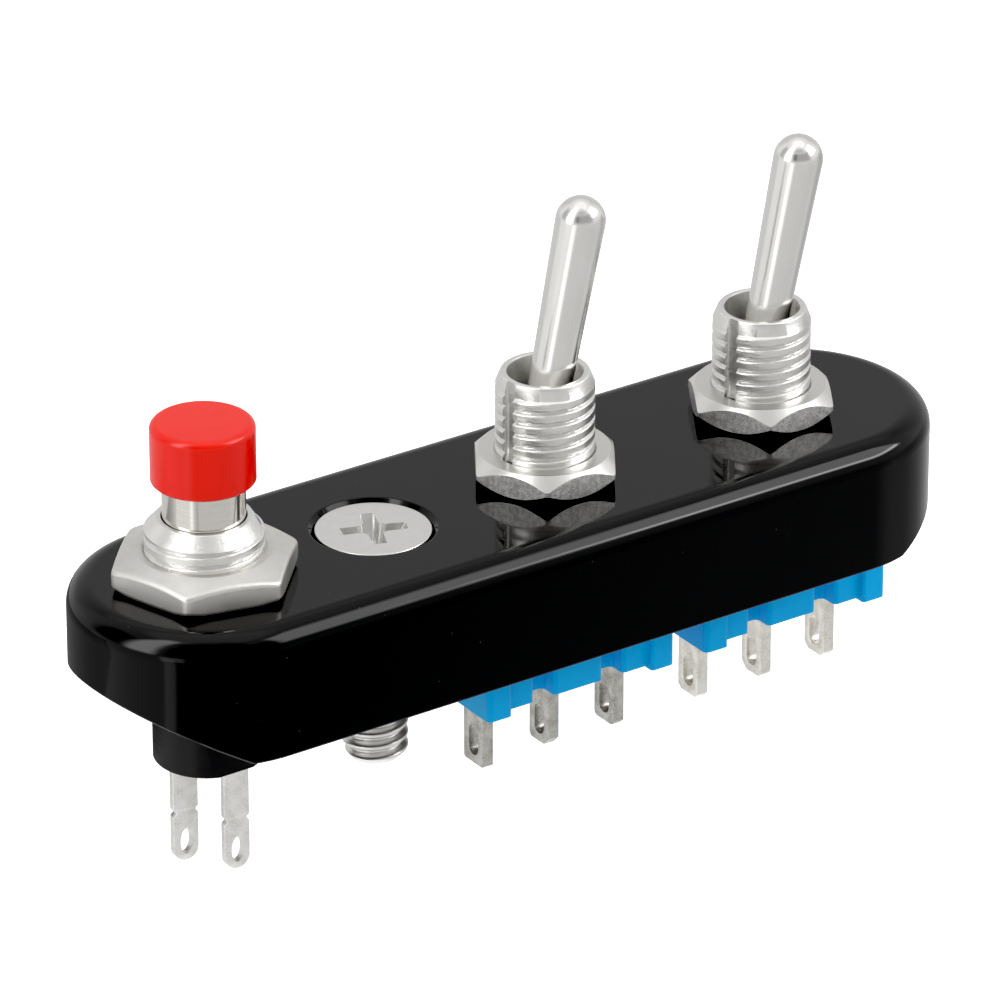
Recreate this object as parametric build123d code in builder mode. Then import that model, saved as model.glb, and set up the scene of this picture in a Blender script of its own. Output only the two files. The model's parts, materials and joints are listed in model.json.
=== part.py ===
from build123d import *
import os
from math import cos, radians, sin, sqrt, tan

# Handlebar switch: two toggle switches and a push button in one billet housing, held by one clamp screw.
# Millimetres. Origin on the clamp screw's axis, in the plane of the housing's underside.
# +X runs along the housing towards the toggles, +Z points up out of its top face.

# ---- driving dimensions -------------------------------------------------------------------------
HOUSING_LENGTH = 57.5
HOUSING_WIDTH = 16.4
HOUSING_HEIGHT = 8.0
HOUSING_CENTRE_X = 9.4
TOP_EDGE_RADIUS = 1.5
PLATE_THICKNESS = 2.15          # left over the milled pockets
LEFT_BEVEL = (6.05, 28.8)       # length from the tip along X, angle in degrees
RIGHT_BEVEL = (5.65, 20.9)

SCREW_HOLE_DIAMETER = 4.3
SCREW_SINK_DIAMETER = 7.5
SCREW_HEAD_DIAMETER = 6.8
SCREW_SHANK_DIAMETER = 3.5
SCREW_THREAD_DIAMETER = 3.9
SCREW_REACH = 6.7               # below the underside
SCREW_HEAD_SINK = 0.15          # the head's top below the housing's top face
RECESS_SPAN = 3.97
RECESS_SLOT = 0.85
RECESS_ANGLE = -22.0
RECESS_DEPTH = 1.4
RECESS_TAPER = 12.0
RECESS_CORNER = 0.45            # rounding where the recess's arms meet

TOGGLE_XS = (12.0, 27.55)
TOGGLE_NUT_TURNS = (27.0, 31.5)  # degrees that each nut's flats are turned
TOGGLE_POCKET_WIDTH = 8.6
TOGGLE_POCKET_MARGIN = 0.4
TOGGLE_POCKET_CORNER = 1.5
BUSHING_HOLE_PLAY = 0.075       # round the bushing in the plate's hole
BUSHING_DIAMETER = 5.85
BUSHING_TOP = 14.75
BUSHING_KEYWAY = (0.85, 0.5)    # width, depth
BUSHING_KEYWAY_TURNS = (7.0, 15.0)  # degrees round from -X towards -Y
NUT_ACROSS_FLATS = 8.1
NUT_THICKNESS = 1.75
NUT_CHAMFER = (0.17, 0.75)      # above and below: depth in the middle of a flat, slope outwards
NUT_COUNTERSINK = 0.4
LEVER_PIVOT_Z = 12.0
LEVER_LEAN = 12.0               # degrees from upright at each end of the throw
LEVER_BALL_RADIUS = 2.0
LEVER_DOME_RADIUS = 1.48
LEVER_DOME_REACH = 11.86        # pivot to the centre of the domed tip
BALL_CLEARANCE = 0.08

CASE_LENGTH = 13.3
CASE_WIDTH = 7.1
CASE_BOTTOM = -4.75
PILASTER_LENGTH = 1.65
PILASTER_WIDTH = 7.9
GROOVE_PITCH = 4.9
GROOVE_WIDTH = 1.4
GROOVE_DEPTH = 1.2
GROOVE_LIP_RADIUS = 0.3
GROOVE_ROOT_RADIUS = 0.35
CASE_CORNER_RADIUS = 0.35
CASE_FOOT_RADIUS = 0.6
CASE_UNDERCUT = 0.22            # the underside between the feet stands this much higher
FRAME_SHEET = 0.5
FRAME_BEND_RADIUS = 0.3
TERMINAL_PITCH = 4.7
TERMINAL_WIDTH = 2.0
TERMINAL_THICKNESS = 0.76
TERMINAL_END = -9.55
TERMINAL_TIP_CHAMFER = 0.35
ROCKER_TILT = 10.0              # degrees from level at each end of the throw
ROCKER_PIVOT_Z = 1.95

BUTTON_X = -11.45
BUTTON_NUT_ACROSS_FLATS = 9.8
BUTTON_NUT_THICKNESS = 2.0
BUTTON_NUT_TURN = 17.0
BUTTON_NUT_TOP_CHAMFER = (0.35, 0.38)
BUTTON_NUT_FOOT_CHAMFER = (0.0, 0.43)
BUTTON_NUT_COUNTERSINK = 0.3
BUTTON_THREAD_DIAMETER = 6.9
BUTTON_BUSHING_TOP = 12.0
BUTTON_RIM_WIDTH = 0.3
BUTTON_RIM_BEVEL = 0.75
BUTTON_HOLE_PLAY = 0.1
BUTTON_POCKET_DIAMETER = 9.4
BUTTON_TRAVEL = 1.2
PLUNGER_DIAMETER = 4.8
CAP_DIAMETER = 6.05
CAP_BOTTOM = 14.2
CAP_TOP = 17.85
CAP_EDGE_RADIUS = 0.3
CAP_FOOT_CHAMFER = 0.12
BASE_DIAMETER = 6.4
BASE_BOTTOM = -3.3
BASE_FLAT_DEPTH = 0.28
LUG_WIDTH = 1.6
LUG_THICKNESS = 0.5
LUG_END = -10.5
LUG_OFFSET = (0.95, 1.25)       # each lug's centre from the button's axis
LUG_TURN = -4.0
LUG_EYE = (1.6, 0.75)           # length, width
LUG_EYE_RISE = 1.25             # from the lug's end to the middle of the eye
LUG_WAIST_Z = -7.3
LUG_NOTCH = 0.3

# ---- sizes that follow from them ----------------------------------------------------------------
POCKET_TOP = HOUSING_HEIGHT - PLATE_THICKNESS
CASE_TOP = POCKET_TOP - FRAME_SHEET
CASE_FLOOR = 1.3
PAD_TOP = 1.8
LEAN_SIN = sin(radians(LEVER_LEAN))
LEAN_COS = cos(radians(LEVER_LEAN))
FRONT = Plane.XZ                # sketch X is X, sketch Y is Z, extrudes towards -Y
TINY = 0.01                     # tolerance for picking edges and corners by where they lie

os.makedirs("parts", exist_ok=True)


def save(part, name):
    """Label a finished piece and write it to its own STEP file."""
    part.label = name
    export_step(part, f"parts/{name}.step")


def upright(x, z=0.0):
    """The vertical plane through a switch's axis, with its origin on that axis."""
    return Plane(origin=(x, 0, z), x_dir=(1, 0, 0), z_dir=(0, -1, 0))


def leaning(x, z, degrees):
    """The same plane turned about +Y, so its own Y runs along a leaning lever or a tilted rocker."""
    turn = radians(degrees)
    return Plane(origin=(x, 0, z), x_dir=(cos(turn), 0, -sin(turn)), z_dir=(0, -1, 0))


def axis_of(plane):
    """The axis that a profile drawn on an upright or leaning plane is turned about."""
    return Axis(plane.origin, plane.y_dir)


# ---- housing ------------------------------------------------------------------------------------
BEVEL_DROP = 3.0                # how far below the underside the bevel cutters reach
LEFT_TIP = HOUSING_CENTRE_X - HOUSING_LENGTH / 2
RIGHT_TIP = HOUSING_CENTRE_X + HOUSING_LENGTH / 2
LEFT_RISE = LEFT_BEVEL[0] * tan(radians(LEFT_BEVEL[1]))
RIGHT_RISE = RIGHT_BEVEL[0] * tan(radians(RIGHT_BEVEL[1]))
POCKET_START = TOGGLE_XS[0] - CASE_LENGTH / 2 - TOGGLE_POCKET_MARGIN
POCKET_END = TOGGLE_XS[1] + CASE_LENGTH / 2 + TOGGLE_POCKET_MARGIN

with BuildPart() as housing:
    with BuildSketch(Plane.XY):
        with Locations((HOUSING_CENTRE_X, 0)):
            SlotOverall(HOUSING_LENGTH, HOUSING_WIDTH)
    extrude(amount=HOUSING_HEIGHT)
    fillet(housing.edges().group_by(Axis.Z)[-1], radius=TOP_EDGE_RADIUS)

    # the underside slopes up towards both tips
    with BuildSketch(FRONT):
        with BuildLine():
            Polyline(
                (LEFT_TIP, LEFT_RISE),
                (LEFT_TIP + LEFT_BEVEL[0], 0),
                (LEFT_TIP + LEFT_BEVEL[0], -BEVEL_DROP),
                (LEFT_TIP - 1, -BEVEL_DROP),
                (LEFT_TIP - 1, LEFT_RISE + tan(radians(LEFT_BEVEL[1]))),
                close=True,
            )
        make_face()
        with BuildLine():
            Polyline(
                (RIGHT_TIP, RIGHT_RISE),
                (RIGHT_TIP - RIGHT_BEVEL[0], 0),
                (RIGHT_TIP - RIGHT_BEVEL[0], -BEVEL_DROP),
                (RIGHT_TIP + 1, -BEVEL_DROP),
                (RIGHT_TIP + 1, RIGHT_RISE + tan(radians(RIGHT_BEVEL[1]))),
                close=True,
            )
        make_face()
    extrude(amount=HOUSING_WIDTH, both=True, mode=Mode.SUBTRACT)

    # one long pocket for the toggles and a round one for the button, milled from below
    with BuildSketch(Plane.XY):
        with Locations(((POCKET_START + POCKET_END) / 2, 0)):
            RectangleRounded(POCKET_END - POCKET_START, TOGGLE_POCKET_WIDTH, TOGGLE_POCKET_CORNER)
        with Locations((BUTTON_X, 0)):
            Circle(BUTTON_POCKET_DIAMETER / 2)
    extrude(amount=POCKET_TOP, mode=Mode.SUBTRACT)

    with Locations(*[(x, 0, HOUSING_HEIGHT) for x in TOGGLE_XS]):
        Hole(BUSHING_DIAMETER / 2 + BUSHING_HOLE_PLAY)
    with Locations((BUTTON_X, 0, HOUSING_HEIGHT)):
        Hole(BUTTON_THREAD_DIAMETER / 2 + BUTTON_HOLE_PLAY)
    with Locations((0, 0, HOUSING_HEIGHT)):
        CounterSinkHole(SCREW_HOLE_DIAMETER / 2, SCREW_SINK_DIAMETER / 2, counter_sink_angle=90)

save(housing.part, "housing")

# ---- clamp screw --------------------------------------------------------------------------------
SEAT_Z = HOUSING_HEIGHT - (SCREW_SINK_DIAMETER - SCREW_HEAD_DIAMETER) / 2
CONE_END_Z = SEAT_Z - (SCREW_HEAD_DIAMETER - SCREW_SHANK_DIAMETER) / 2
HEAD_TOP = HOUSING_HEIGHT - SCREW_HEAD_SINK
HEAD_EASE = 0.08
SCREW_END_CHAMFER = 0.5

with BuildPart() as clamp_screw:
    with BuildSketch(upright(0)):
        with BuildLine():
            Polyline(
                (0, HEAD_TOP),
                (SCREW_HEAD_DIAMETER / 2 - HEAD_EASE, HEAD_TOP),
                (SCREW_HEAD_DIAMETER / 2, HEAD_TOP - HEAD_EASE),
                (SCREW_HEAD_DIAMETER / 2, SEAT_Z),
                (SCREW_SHANK_DIAMETER / 2, CONE_END_Z),
                (SCREW_SHANK_DIAMETER / 2, 0),
                (SCREW_THREAD_DIAMETER / 2, 0),
                (SCREW_THREAD_DIAMETER / 2, SCREW_END_CHAMFER - SCREW_REACH),
                (SCREW_THREAD_DIAMETER / 2 - SCREW_END_CHAMFER, -SCREW_REACH),
                (0, -SCREW_REACH),
                close=True,
            )
        make_face()
    revolve(axis=Axis.Z)
    # cross recess, narrowing downwards
    with BuildSketch(Plane.XY.offset(HEAD_TOP)) as recess:
        Rectangle(RECESS_SPAN, RECESS_SLOT, rotation=RECESS_ANGLE)
        Rectangle(RECESS_SLOT, RECESS_SPAN, rotation=RECESS_ANGLE)
        fillet(recess.vertices().sort_by_distance((0, 0, HEAD_TOP))[:4], radius=RECESS_CORNER)
    extrude(amount=-RECESS_DEPTH, taper=RECESS_TAPER, mode=Mode.SUBTRACT)

save(clamp_screw.part, "clamp_screw")


# ---- nuts ---------------------------------------------------------------------------------------
BLANK_MARGIN = 0.2              # a nut's turned blank stands this far out past its corners


def nut_corner_cone(x, z_low, z_high, flat_radius, top_chamfer, foot_chamfer):
    """A turned blank that trims a hexagon's corners into round chamfers above and below."""
    top_loss, top_slope = top_chamfer
    foot_loss, foot_slope = foot_chamfer
    outer = flat_radius * 2 / sqrt(3) + BLANK_MARGIN
    top_inner = flat_radius - top_loss / top_slope
    foot_inner = flat_radius - foot_loss / foot_slope
    with BuildPart() as blank:
        with BuildSketch(upright(x)):
            with BuildLine():
                Polyline(
                    (0, z_high),
                    (top_inner, z_high),
                    (outer, z_high - (outer - top_inner) * top_slope),
                    (outer, z_low + (outer - foot_inner) * foot_slope),
                    (foot_inner, z_low),
                    (0, z_low),
                    close=True,
                )
            make_face()
        revolve(axis=Axis((x, 0, 0), (0, 0, 1)))
    return blank.part


def hex_nut(x, across_flats, thickness, bore, turn, top_chamfer, foot_chamfer, countersink):
    """A hexagon nut on the housing's top face, its bore eased by a countersink."""
    z_low = HOUSING_HEIGHT
    z_high = z_low + thickness
    blank = nut_corner_cone(x, z_low, z_high, across_flats / 2, top_chamfer, foot_chamfer)
    with BuildPart() as nut:
        with BuildSketch(Plane.XY.offset(z_low)):
            with Locations((x, 0)):
                RegularPolygon(across_flats / 2, 6, major_radius=False, rotation=turn)
                Circle(bore / 2, mode=Mode.SUBTRACT)
        extrude(amount=thickness)
        add(blank, mode=Mode.INTERSECT)
        chamfer(nut.edges().filter_by(GeomType.CIRCLE).filter_by(lambda e: abs(e.radius - bore / 2) < TINY)
                .sort_by(Axis.Z)[-1], length=countersink)
    return nut.part


# ---- toggle switches ----------------------------------------------------------------------------
SEAT_RADIUS = LEVER_BALL_RADIUS + BALL_CLEARANCE
SEAT_RISE = 1.0                 # the mouth's narrowest ring above the pivot
SEAT_RING = sqrt(SEAT_RADIUS**2 - SEAT_RISE**2)
MOUTH_RADIUS = 2.25
RIM_RADIUS = 2.625
RIM_BEVEL = 0.9
SPIGOT_RADIUS = 2.6
SKIRT_FLARE = 0.25              # how far the bore opens towards its lower end
SKIRT_FLARE_TOP = POCKET_TOP + 0.2
NECK_RADIUS = 1.25
SHANK_RADIUS = 1.2
LEVER_BORE_RADIUS = 0.78
LEVER_BORE_TOP = -0.9
LEVER_END = -3.2
LEVER_SPRING_INNER = 0.45
LEVER_SPRING_OUTER = 0.72
LEVER_SPRING_END = -2.0
TIP_HEAD_RADIUS = 0.74
TIP_HEAD_END = -2.6
TIP_RADIUS = 0.55
TIP_CENTRE = -9.0
ROCKER_HALF = 4.4
ROCKER_WIDTH = 2.6
ROCKER_SHEET = 0.4
ROCKER_SAG = 0.1                # the sheet's underside below its pivot
BEAD_RADIUS = 0.35              # rolled along the rocker's pivot
SADDLE_HALF = 0.75
TRUNNION_RADIUS = 0.45
TRUNNION_REACH = 2.4
TRUNNION_CLEARANCE = 0.05
PAD_WIDTH = 2.6
PAD_INNER = 3.2
EAR_GAP = 1.45
EAR_SHEET = 0.4
EAR_TOP = 2.6
CAVITY = (10.9, 5.7)
LEG_SHEET = 0.4
LEG_WIDTH = 4.6
LEG_END = 0.8
SLOT_LOW = TERMINAL_END + 0.55
SLOT_HIGH = SLOT_LOW + 1.9
SLOT_WIDTH = 0.95


def toggle_bushing(x, keyway_turn):
    """Threaded barrel with a ball seat for the lever, a bevelled rim and a keyway."""
    keyway_width, keyway_depth = BUSHING_KEYWAY
    with BuildPart() as bushing:
        with BuildSketch(upright(x)):
            with BuildLine():
                Polyline(
                    (SEAT_RING, LEVER_PIVOT_Z + SEAT_RISE),
                    (MOUTH_RADIUS, BUSHING_TOP),
                    (RIM_RADIUS, BUSHING_TOP),
                    (BUSHING_DIAMETER / 2, BUSHING_TOP - RIM_BEVEL),
                    (BUSHING_DIAMETER / 2, POCKET_TOP),
                    (SPIGOT_RADIUS, POCKET_TOP),
                    (SPIGOT_RADIUS, CASE_TOP),
                    (SEAT_RADIUS + SKIRT_FLARE, CASE_TOP),
                    (SEAT_RADIUS, SKIRT_FLARE_TOP),
                    (SEAT_RADIUS, LEVER_PIVOT_Z),
                )
                RadiusArc((SEAT_RADIUS, LEVER_PIVOT_Z), (SEAT_RING, LEVER_PIVOT_Z + SEAT_RISE),
                          -SEAT_RADIUS)
            make_face()
        revolve(axis=Axis((x, 0, 0), (0, 0, 1)))
        with BuildSketch(Plane.XY.offset(POCKET_TOP)):
            with Locations((x, 0)):
                with PolarLocations(BUSHING_DIAMETER / 2, 1, start_angle=180 + keyway_turn):
                    Rectangle(keyway_depth * 2, keyway_width)
        extrude(amount=BUSHING_TOP - POCKET_TOP, mode=Mode.SUBTRACT)
        # two inner slots, open below, in which the lever's trunnions turn
        slot_radius = TRUNNION_RADIUS + TRUNNION_CLEARANCE
        with BuildSketch(upright(x)):
            with Locations((0, LEVER_PIVOT_Z)):
                Circle(slot_radius)
            with Locations((0, (LEVER_PIVOT_Z + CASE_TOP) / 2)):
                Rectangle(2 * slot_radius, LEVER_PIVOT_Z - CASE_TOP)
        extrude(amount=TRUNNION_REACH + TRUNNION_CLEARANCE, both=True, mode=Mode.SUBTRACT)
    return bushing.part


def toggle_frame(x):
    """Folded steel sheet over the case: a top plate staked to the bushing and a leg down each end."""
    half = CASE_LENGTH / 2
    with BuildPart() as frame:
        with BuildSketch(Plane.XY.offset(CASE_TOP)):
            with Locations((x, 0)):
                Rectangle(CASE_LENGTH, CASE_WIDTH)
                Circle(SPIGOT_RADIUS, mode=Mode.SUBTRACT)
        extrude(amount=FRAME_SHEET)
        with BuildSketch(Plane.XY.offset(LEG_END)):
            with Locations((x - half + LEG_SHEET / 2, 0), (x + half - LEG_SHEET / 2, 0)):
                Rectangle(LEG_SHEET, LEG_WIDTH)
        extrude(amount=CASE_TOP - LEG_END)
        fillet(frame.edges().filter_by(Axis.Y).group_by(Axis.Z)[-1], radius=FRAME_BEND_RADIUS)
    return frame.part


def toggle_case(x):
    """Moulded case: end pilasters on feet, soft grooves between the terminals, a chamber for the rocker."""
    half = CASE_LENGTH / 2
    with BuildPart() as case:
        with BuildSketch(Plane.XY.offset(CASE_BOTTOM)) as outline:
            with Locations((x, 0)):
                Rectangle(CASE_LENGTH, CASE_WIDTH)
            with Locations((x - half + PILASTER_LENGTH / 2, 0), (x + half - PILASTER_LENGTH / 2, 0)):
                Rectangle(PILASTER_LENGTH, PILASTER_WIDTH)
            for side in (-1, 1):
                for step in (-0.5, 0.5):
                    with Locations((x + step * GROOVE_PITCH, side * CASE_WIDTH / 2)):
                        Rectangle(GROOVE_WIDTH, GROOVE_DEPTH * 2, mode=Mode.SUBTRACT)
            fillet(outline.vertices().filter_by(lambda v: abs(v.Y) < CASE_WIDTH / 2 - GROOVE_DEPTH / 2),
                   radius=GROOVE_ROOT_RADIUS)
            groove_reach = (GROOVE_PITCH + GROOVE_WIDTH) / 2 + TINY
            fillet(outline.vertices().filter_by(lambda v: abs(v.X - x) < groove_reach
                                                and abs(abs(v.Y) - CASE_WIDTH / 2) < TINY),
                   radius=GROOVE_LIP_RADIUS)
        extrude(amount=CASE_TOP - CASE_BOTTOM)
        with BuildSketch(Plane.XY.offset(CASE_BOTTOM)):
            with Locations((x, 0)):
                Rectangle(CASE_LENGTH - 2 * PILASTER_LENGTH, PILASTER_WIDTH)
        extrude(amount=CASE_UNDERCUT, mode=Mode.SUBTRACT)
        # soft upright corners, and feet that are rounded at both ends of the case
        corners = case.edges().filter_by(Axis.Z).group_by(Axis.X)
        fillet([*corners[0], *corners[-1]], radius=CASE_CORNER_RADIUS)
        foot_edges = case.edges().filter_by(Axis.Y).group_by(Axis.Z)[0].group_by(Axis.X)
        fillet([*foot_edges[0], *foot_edges[-1]], radius=CASE_FOOT_RADIUS)
        # recesses that seat the frame's legs
        with BuildSketch(Plane.XY.offset(LEG_END)):
            with Locations((x - half + LEG_SHEET / 2, 0), (x + half - LEG_SHEET / 2, 0)):
                Rectangle(LEG_SHEET, LEG_WIDTH)
        extrude(amount=CASE_TOP - LEG_END, mode=Mode.SUBTRACT)
        with BuildSketch(Plane.XY.offset(CASE_FLOOR)):
            with Locations((x, 0)):
                Rectangle(*CAVITY)
        extrude(amount=CASE_TOP - CASE_FLOOR, mode=Mode.SUBTRACT)
        # slots through the floor for the terminals
        with BuildSketch(Plane.XY.offset(CASE_BOTTOM)):
            with Locations(*[(x + step * TERMINAL_PITCH, 0) for step in (-1, 0, 1)]):
                Rectangle(TERMINAL_THICKNESS, TERMINAL_WIDTH)
        extrude(amount=CASE_FLOOR - CASE_BOTTOM, mode=Mode.SUBTRACT)
    return case.part


def toggle_lever(x):
    """Tapered lever with a domed tip, a pivot ball with two trunnions and a bored lower shank."""
    plane = leaning(x, LEVER_PIVOT_Z, LEVER_LEAN)
    ball_top = sqrt(LEVER_BALL_RADIUS**2 - NECK_RADIUS**2)
    ball_low = -sqrt(LEVER_BALL_RADIUS**2 - SHANK_RADIUS**2)
    with BuildPart() as lever:
        with BuildSketch(plane):
            with BuildLine():
                RadiusArc((0, LEVER_DOME_REACH + LEVER_DOME_RADIUS), (LEVER_DOME_RADIUS, LEVER_DOME_REACH),
                          LEVER_DOME_RADIUS)
                Polyline((LEVER_DOME_RADIUS, LEVER_DOME_REACH), (NECK_RADIUS, ball_top))
                ThreePointArc((NECK_RADIUS, ball_top), (LEVER_BALL_RADIUS, 0), (SHANK_RADIUS, ball_low))
                Polyline(
                    (SHANK_RADIUS, ball_low),
                    (SHANK_RADIUS, LEVER_END),
                    (LEVER_BORE_RADIUS, LEVER_END),
                    (LEVER_BORE_RADIUS, LEVER_BORE_TOP),
                    (0, LEVER_BORE_TOP),
                    (0, LEVER_DOME_REACH + LEVER_DOME_RADIUS),
                )
            make_face()
        revolve(axis=axis_of(plane))
        for side in (-1, 1):
            with BuildSketch(Plane(origin=(x, 0, LEVER_PIVOT_Z), z_dir=(0, side, 0)).offset(NECK_RADIUS)):
                Circle(TRUNNION_RADIUS)
            extrude(amount=TRUNNION_REACH - NECK_RADIUS)
    return lever.part


def toggle_lever_spring(x):
    """Space taken by the small coil spring inside the lever."""
    plane = leaning(x, LEVER_PIVOT_Z, LEVER_LEAN)
    with BuildPart() as spring:
        with BuildSketch(plane):
            with BuildLine():
                Polyline(
                    (LEVER_SPRING_INNER, LEVER_BORE_TOP),
                    (LEVER_SPRING_OUTER, LEVER_BORE_TOP),
                    (LEVER_SPRING_OUTER, LEVER_SPRING_END),
                    (LEVER_SPRING_INNER, LEVER_SPRING_END),
                    close=True,
                )
            make_face()
        revolve(axis=axis_of(plane))
    return spring.part


def toggle_lever_tip(x):
    """Nylon tip that the spring pushes out of the lever towards the rocker."""
    plane = leaning(x, LEVER_PIVOT_Z, LEVER_LEAN)
    with BuildPart() as tip:
        with BuildSketch(plane):
            with BuildLine():
                Polyline(
                    (0, TIP_CENTRE - TIP_RADIUS),
                    (0, LEVER_SPRING_END),
                    (TIP_HEAD_RADIUS, LEVER_SPRING_END),
                    (TIP_HEAD_RADIUS, TIP_HEAD_END),
                    (TIP_RADIUS, TIP_HEAD_END),
                    (TIP_RADIUS, TIP_CENTRE),
                )
                RadiusArc((TIP_RADIUS, TIP_CENTRE), (0, TIP_CENTRE - TIP_RADIUS), TIP_RADIUS)
            make_face()
        revolve(axis=axis_of(plane))
    return tip.part


def toggle_rocker(x):
    """Seesaw contact: a strip bent to a shallow V, with a bead that turns in the middle saddle."""
    rise = tan(radians(ROCKER_TILT)) * ROCKER_HALF
    sheet = ROCKER_SHEET / cos(radians(ROCKER_TILT))
    with BuildPart() as rocker:
        with BuildSketch(leaning(x, ROCKER_PIVOT_Z, -ROCKER_TILT)):
            with BuildLine():
                Polyline(
                    (-ROCKER_HALF, rise - ROCKER_SAG),
                    (0, -ROCKER_SAG),
                    (ROCKER_HALF, rise - ROCKER_SAG),
                    (ROCKER_HALF, rise - ROCKER_SAG + sheet),
                    (0, sheet - ROCKER_SAG),
                    (-ROCKER_HALF, rise - ROCKER_SAG + sheet),
                    close=True,
                )
            make_face()
            Circle(BEAD_RADIUS)
        extrude(amount=ROCKER_WIDTH / 2, both=True)
    return rocker.part


def terminal_blade(x):
    """The flat solder blade with its slot, shared by all three terminals."""
    side = Plane(origin=(x - TERMINAL_THICKNESS / 2, 0, 0), x_dir=(0, 1, 0), z_dir=(1, 0, 0))
    with BuildPart() as blade:
        with BuildSketch(side):
            with Locations((0, (TERMINAL_END + CASE_FLOOR) / 2)):
                Rectangle(TERMINAL_WIDTH, CASE_FLOOR - TERMINAL_END)
            with Locations((0, (SLOT_LOW + SLOT_HIGH) / 2)):
                SlotOverall(SLOT_HIGH - SLOT_LOW, SLOT_WIDTH, rotation=90, mode=Mode.SUBTRACT)
        extrude(amount=TERMINAL_THICKNESS)
        chamfer(blade.faces().sort_by(Axis.Z)[0].edges().filter_by(Axis.X), length=TERMINAL_TIP_CHAMFER)
    return blade.part


def toggle_end_terminal(x, step):
    """Outer terminal: its head is bent inwards as a contact pad under the rocker's end."""
    centre = x + step * TERMINAL_PITCH
    outer = centre + step * TERMINAL_THICKNESS / 2
    inner = x + step * PAD_INNER
    with BuildPart() as terminal:
        add(terminal_blade(centre))
        with BuildSketch(Plane.XY.offset(CASE_FLOOR)):
            with Locations(((outer + inner) / 2, 0)):
                Rectangle(abs(outer - inner), PAD_WIDTH)
        extrude(amount=PAD_TOP - CASE_FLOOR)
    return terminal.part


def toggle_centre_terminal(x):
    """Centre terminal: its head is a saddle with two ears that keep the rocker in place."""
    with BuildPart() as terminal:
        add(terminal_blade(x))
        with BuildSketch(Plane.XY.offset(CASE_FLOOR)):
            with Locations((x, 0)):
                Rectangle(2 * SADDLE_HALF, 2 * (EAR_GAP + EAR_SHEET))
        extrude(amount=PAD_TOP - CASE_FLOOR)
        with BuildSketch(Plane.XY.offset(PAD_TOP)):
            with Locations((x, EAR_GAP + EAR_SHEET / 2), (x, -EAR_GAP - EAR_SHEET / 2)):
                Rectangle(2 * SADDLE_HALF, EAR_SHEET)
        extrude(amount=EAR_TOP - PAD_TOP)
        with BuildSketch(upright(x, ROCKER_PIVOT_Z)):
            Circle(BEAD_RADIUS + TRUNNION_CLEARANCE)
        extrude(amount=EAR_GAP, both=True, mode=Mode.SUBTRACT)
    return terminal.part


for number, toggle_x in enumerate(TOGGLE_XS, start=1):
    nut = hex_nut(toggle_x, NUT_ACROSS_FLATS, NUT_THICKNESS, BUSHING_DIAMETER, TOGGLE_NUT_TURNS[number - 1],
                  top_chamfer=NUT_CHAMFER, foot_chamfer=NUT_CHAMFER, countersink=NUT_COUNTERSINK)
    save(toggle_bushing(toggle_x, BUSHING_KEYWAY_TURNS[number - 1]), f"toggle_{number}_bushing")
    save(nut, f"toggle_{number}_nut")
    save(toggle_frame(toggle_x), f"toggle_{number}_frame")
    save(toggle_case(toggle_x), f"toggle_{number}_case")
    save(toggle_lever(toggle_x), f"toggle_{number}_lever")
    save(toggle_lever_spring(toggle_x), f"toggle_{number}_lever_spring")
    save(toggle_lever_tip(toggle_x), f"toggle_{number}_lever_tip")
    save(toggle_rocker(toggle_x), f"toggle_{number}_rocker")
    save(toggle_end_terminal(toggle_x, -1), f"toggle_{number}_terminal_a")
    save(toggle_centre_terminal(toggle_x), f"toggle_{number}_terminal_b")
    save(toggle_end_terminal(toggle_x, 1), f"toggle_{number}_terminal_c")

# ---- push button --------------------------------------------------------------------------------
BUTTON_AXIS = Axis((BUTTON_X, 0, 0), (0, 0, 1))
PLUNGER_CLEARANCE = 0.05
COLLAR_RADIUS = 2.8
COLLAR_PLAY = 0.1               # round the collar in its bore
COLLAR_GAP = 0.02               # above the collar at rest
COLLAR_TOP = 6.4
COLLAR_LOW = 5.6
FLANGE_RADIUS = 4.4
FLANGE_LOW = POCKET_TOP - 1.0
SKIRT_RADIUS = 3.8
SKIRT_LOW = 0.9
BASE_TOP = 3.6
BASE_CAVITY_RADIUS = 2.75
BASE_FLOOR = -0.75
BASE_FLAT_TOP = SKIRT_LOW - 0.3
CONTACT_RADIUS = 0.55
CONTACT_OFFSET = 0.25           # each contact head's centre out from its lug
CONTACT_TOP = -0.25
SPRING_SEAT = -1.6
SPRING_OUTER = 0.9
SPRING_INNER = 0.62
SPRING_ROOM = 0.04              # between the spring and the bore that seats it
PEG_RADIUS = 0.55
BRIDGE_LOW = CONTACT_TOP + BUTTON_TRAVEL + 0.05
BRIDGE_TOP = BRIDGE_LOW + 0.4
BRIDGE_RADIUS = 2.5
PEG_END = BRIDGE_LOW - 0.3
STUD_RADIUS = 1.5
STUD_TOP = 16.4
PUSHER_RADIUS = 1.9

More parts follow.
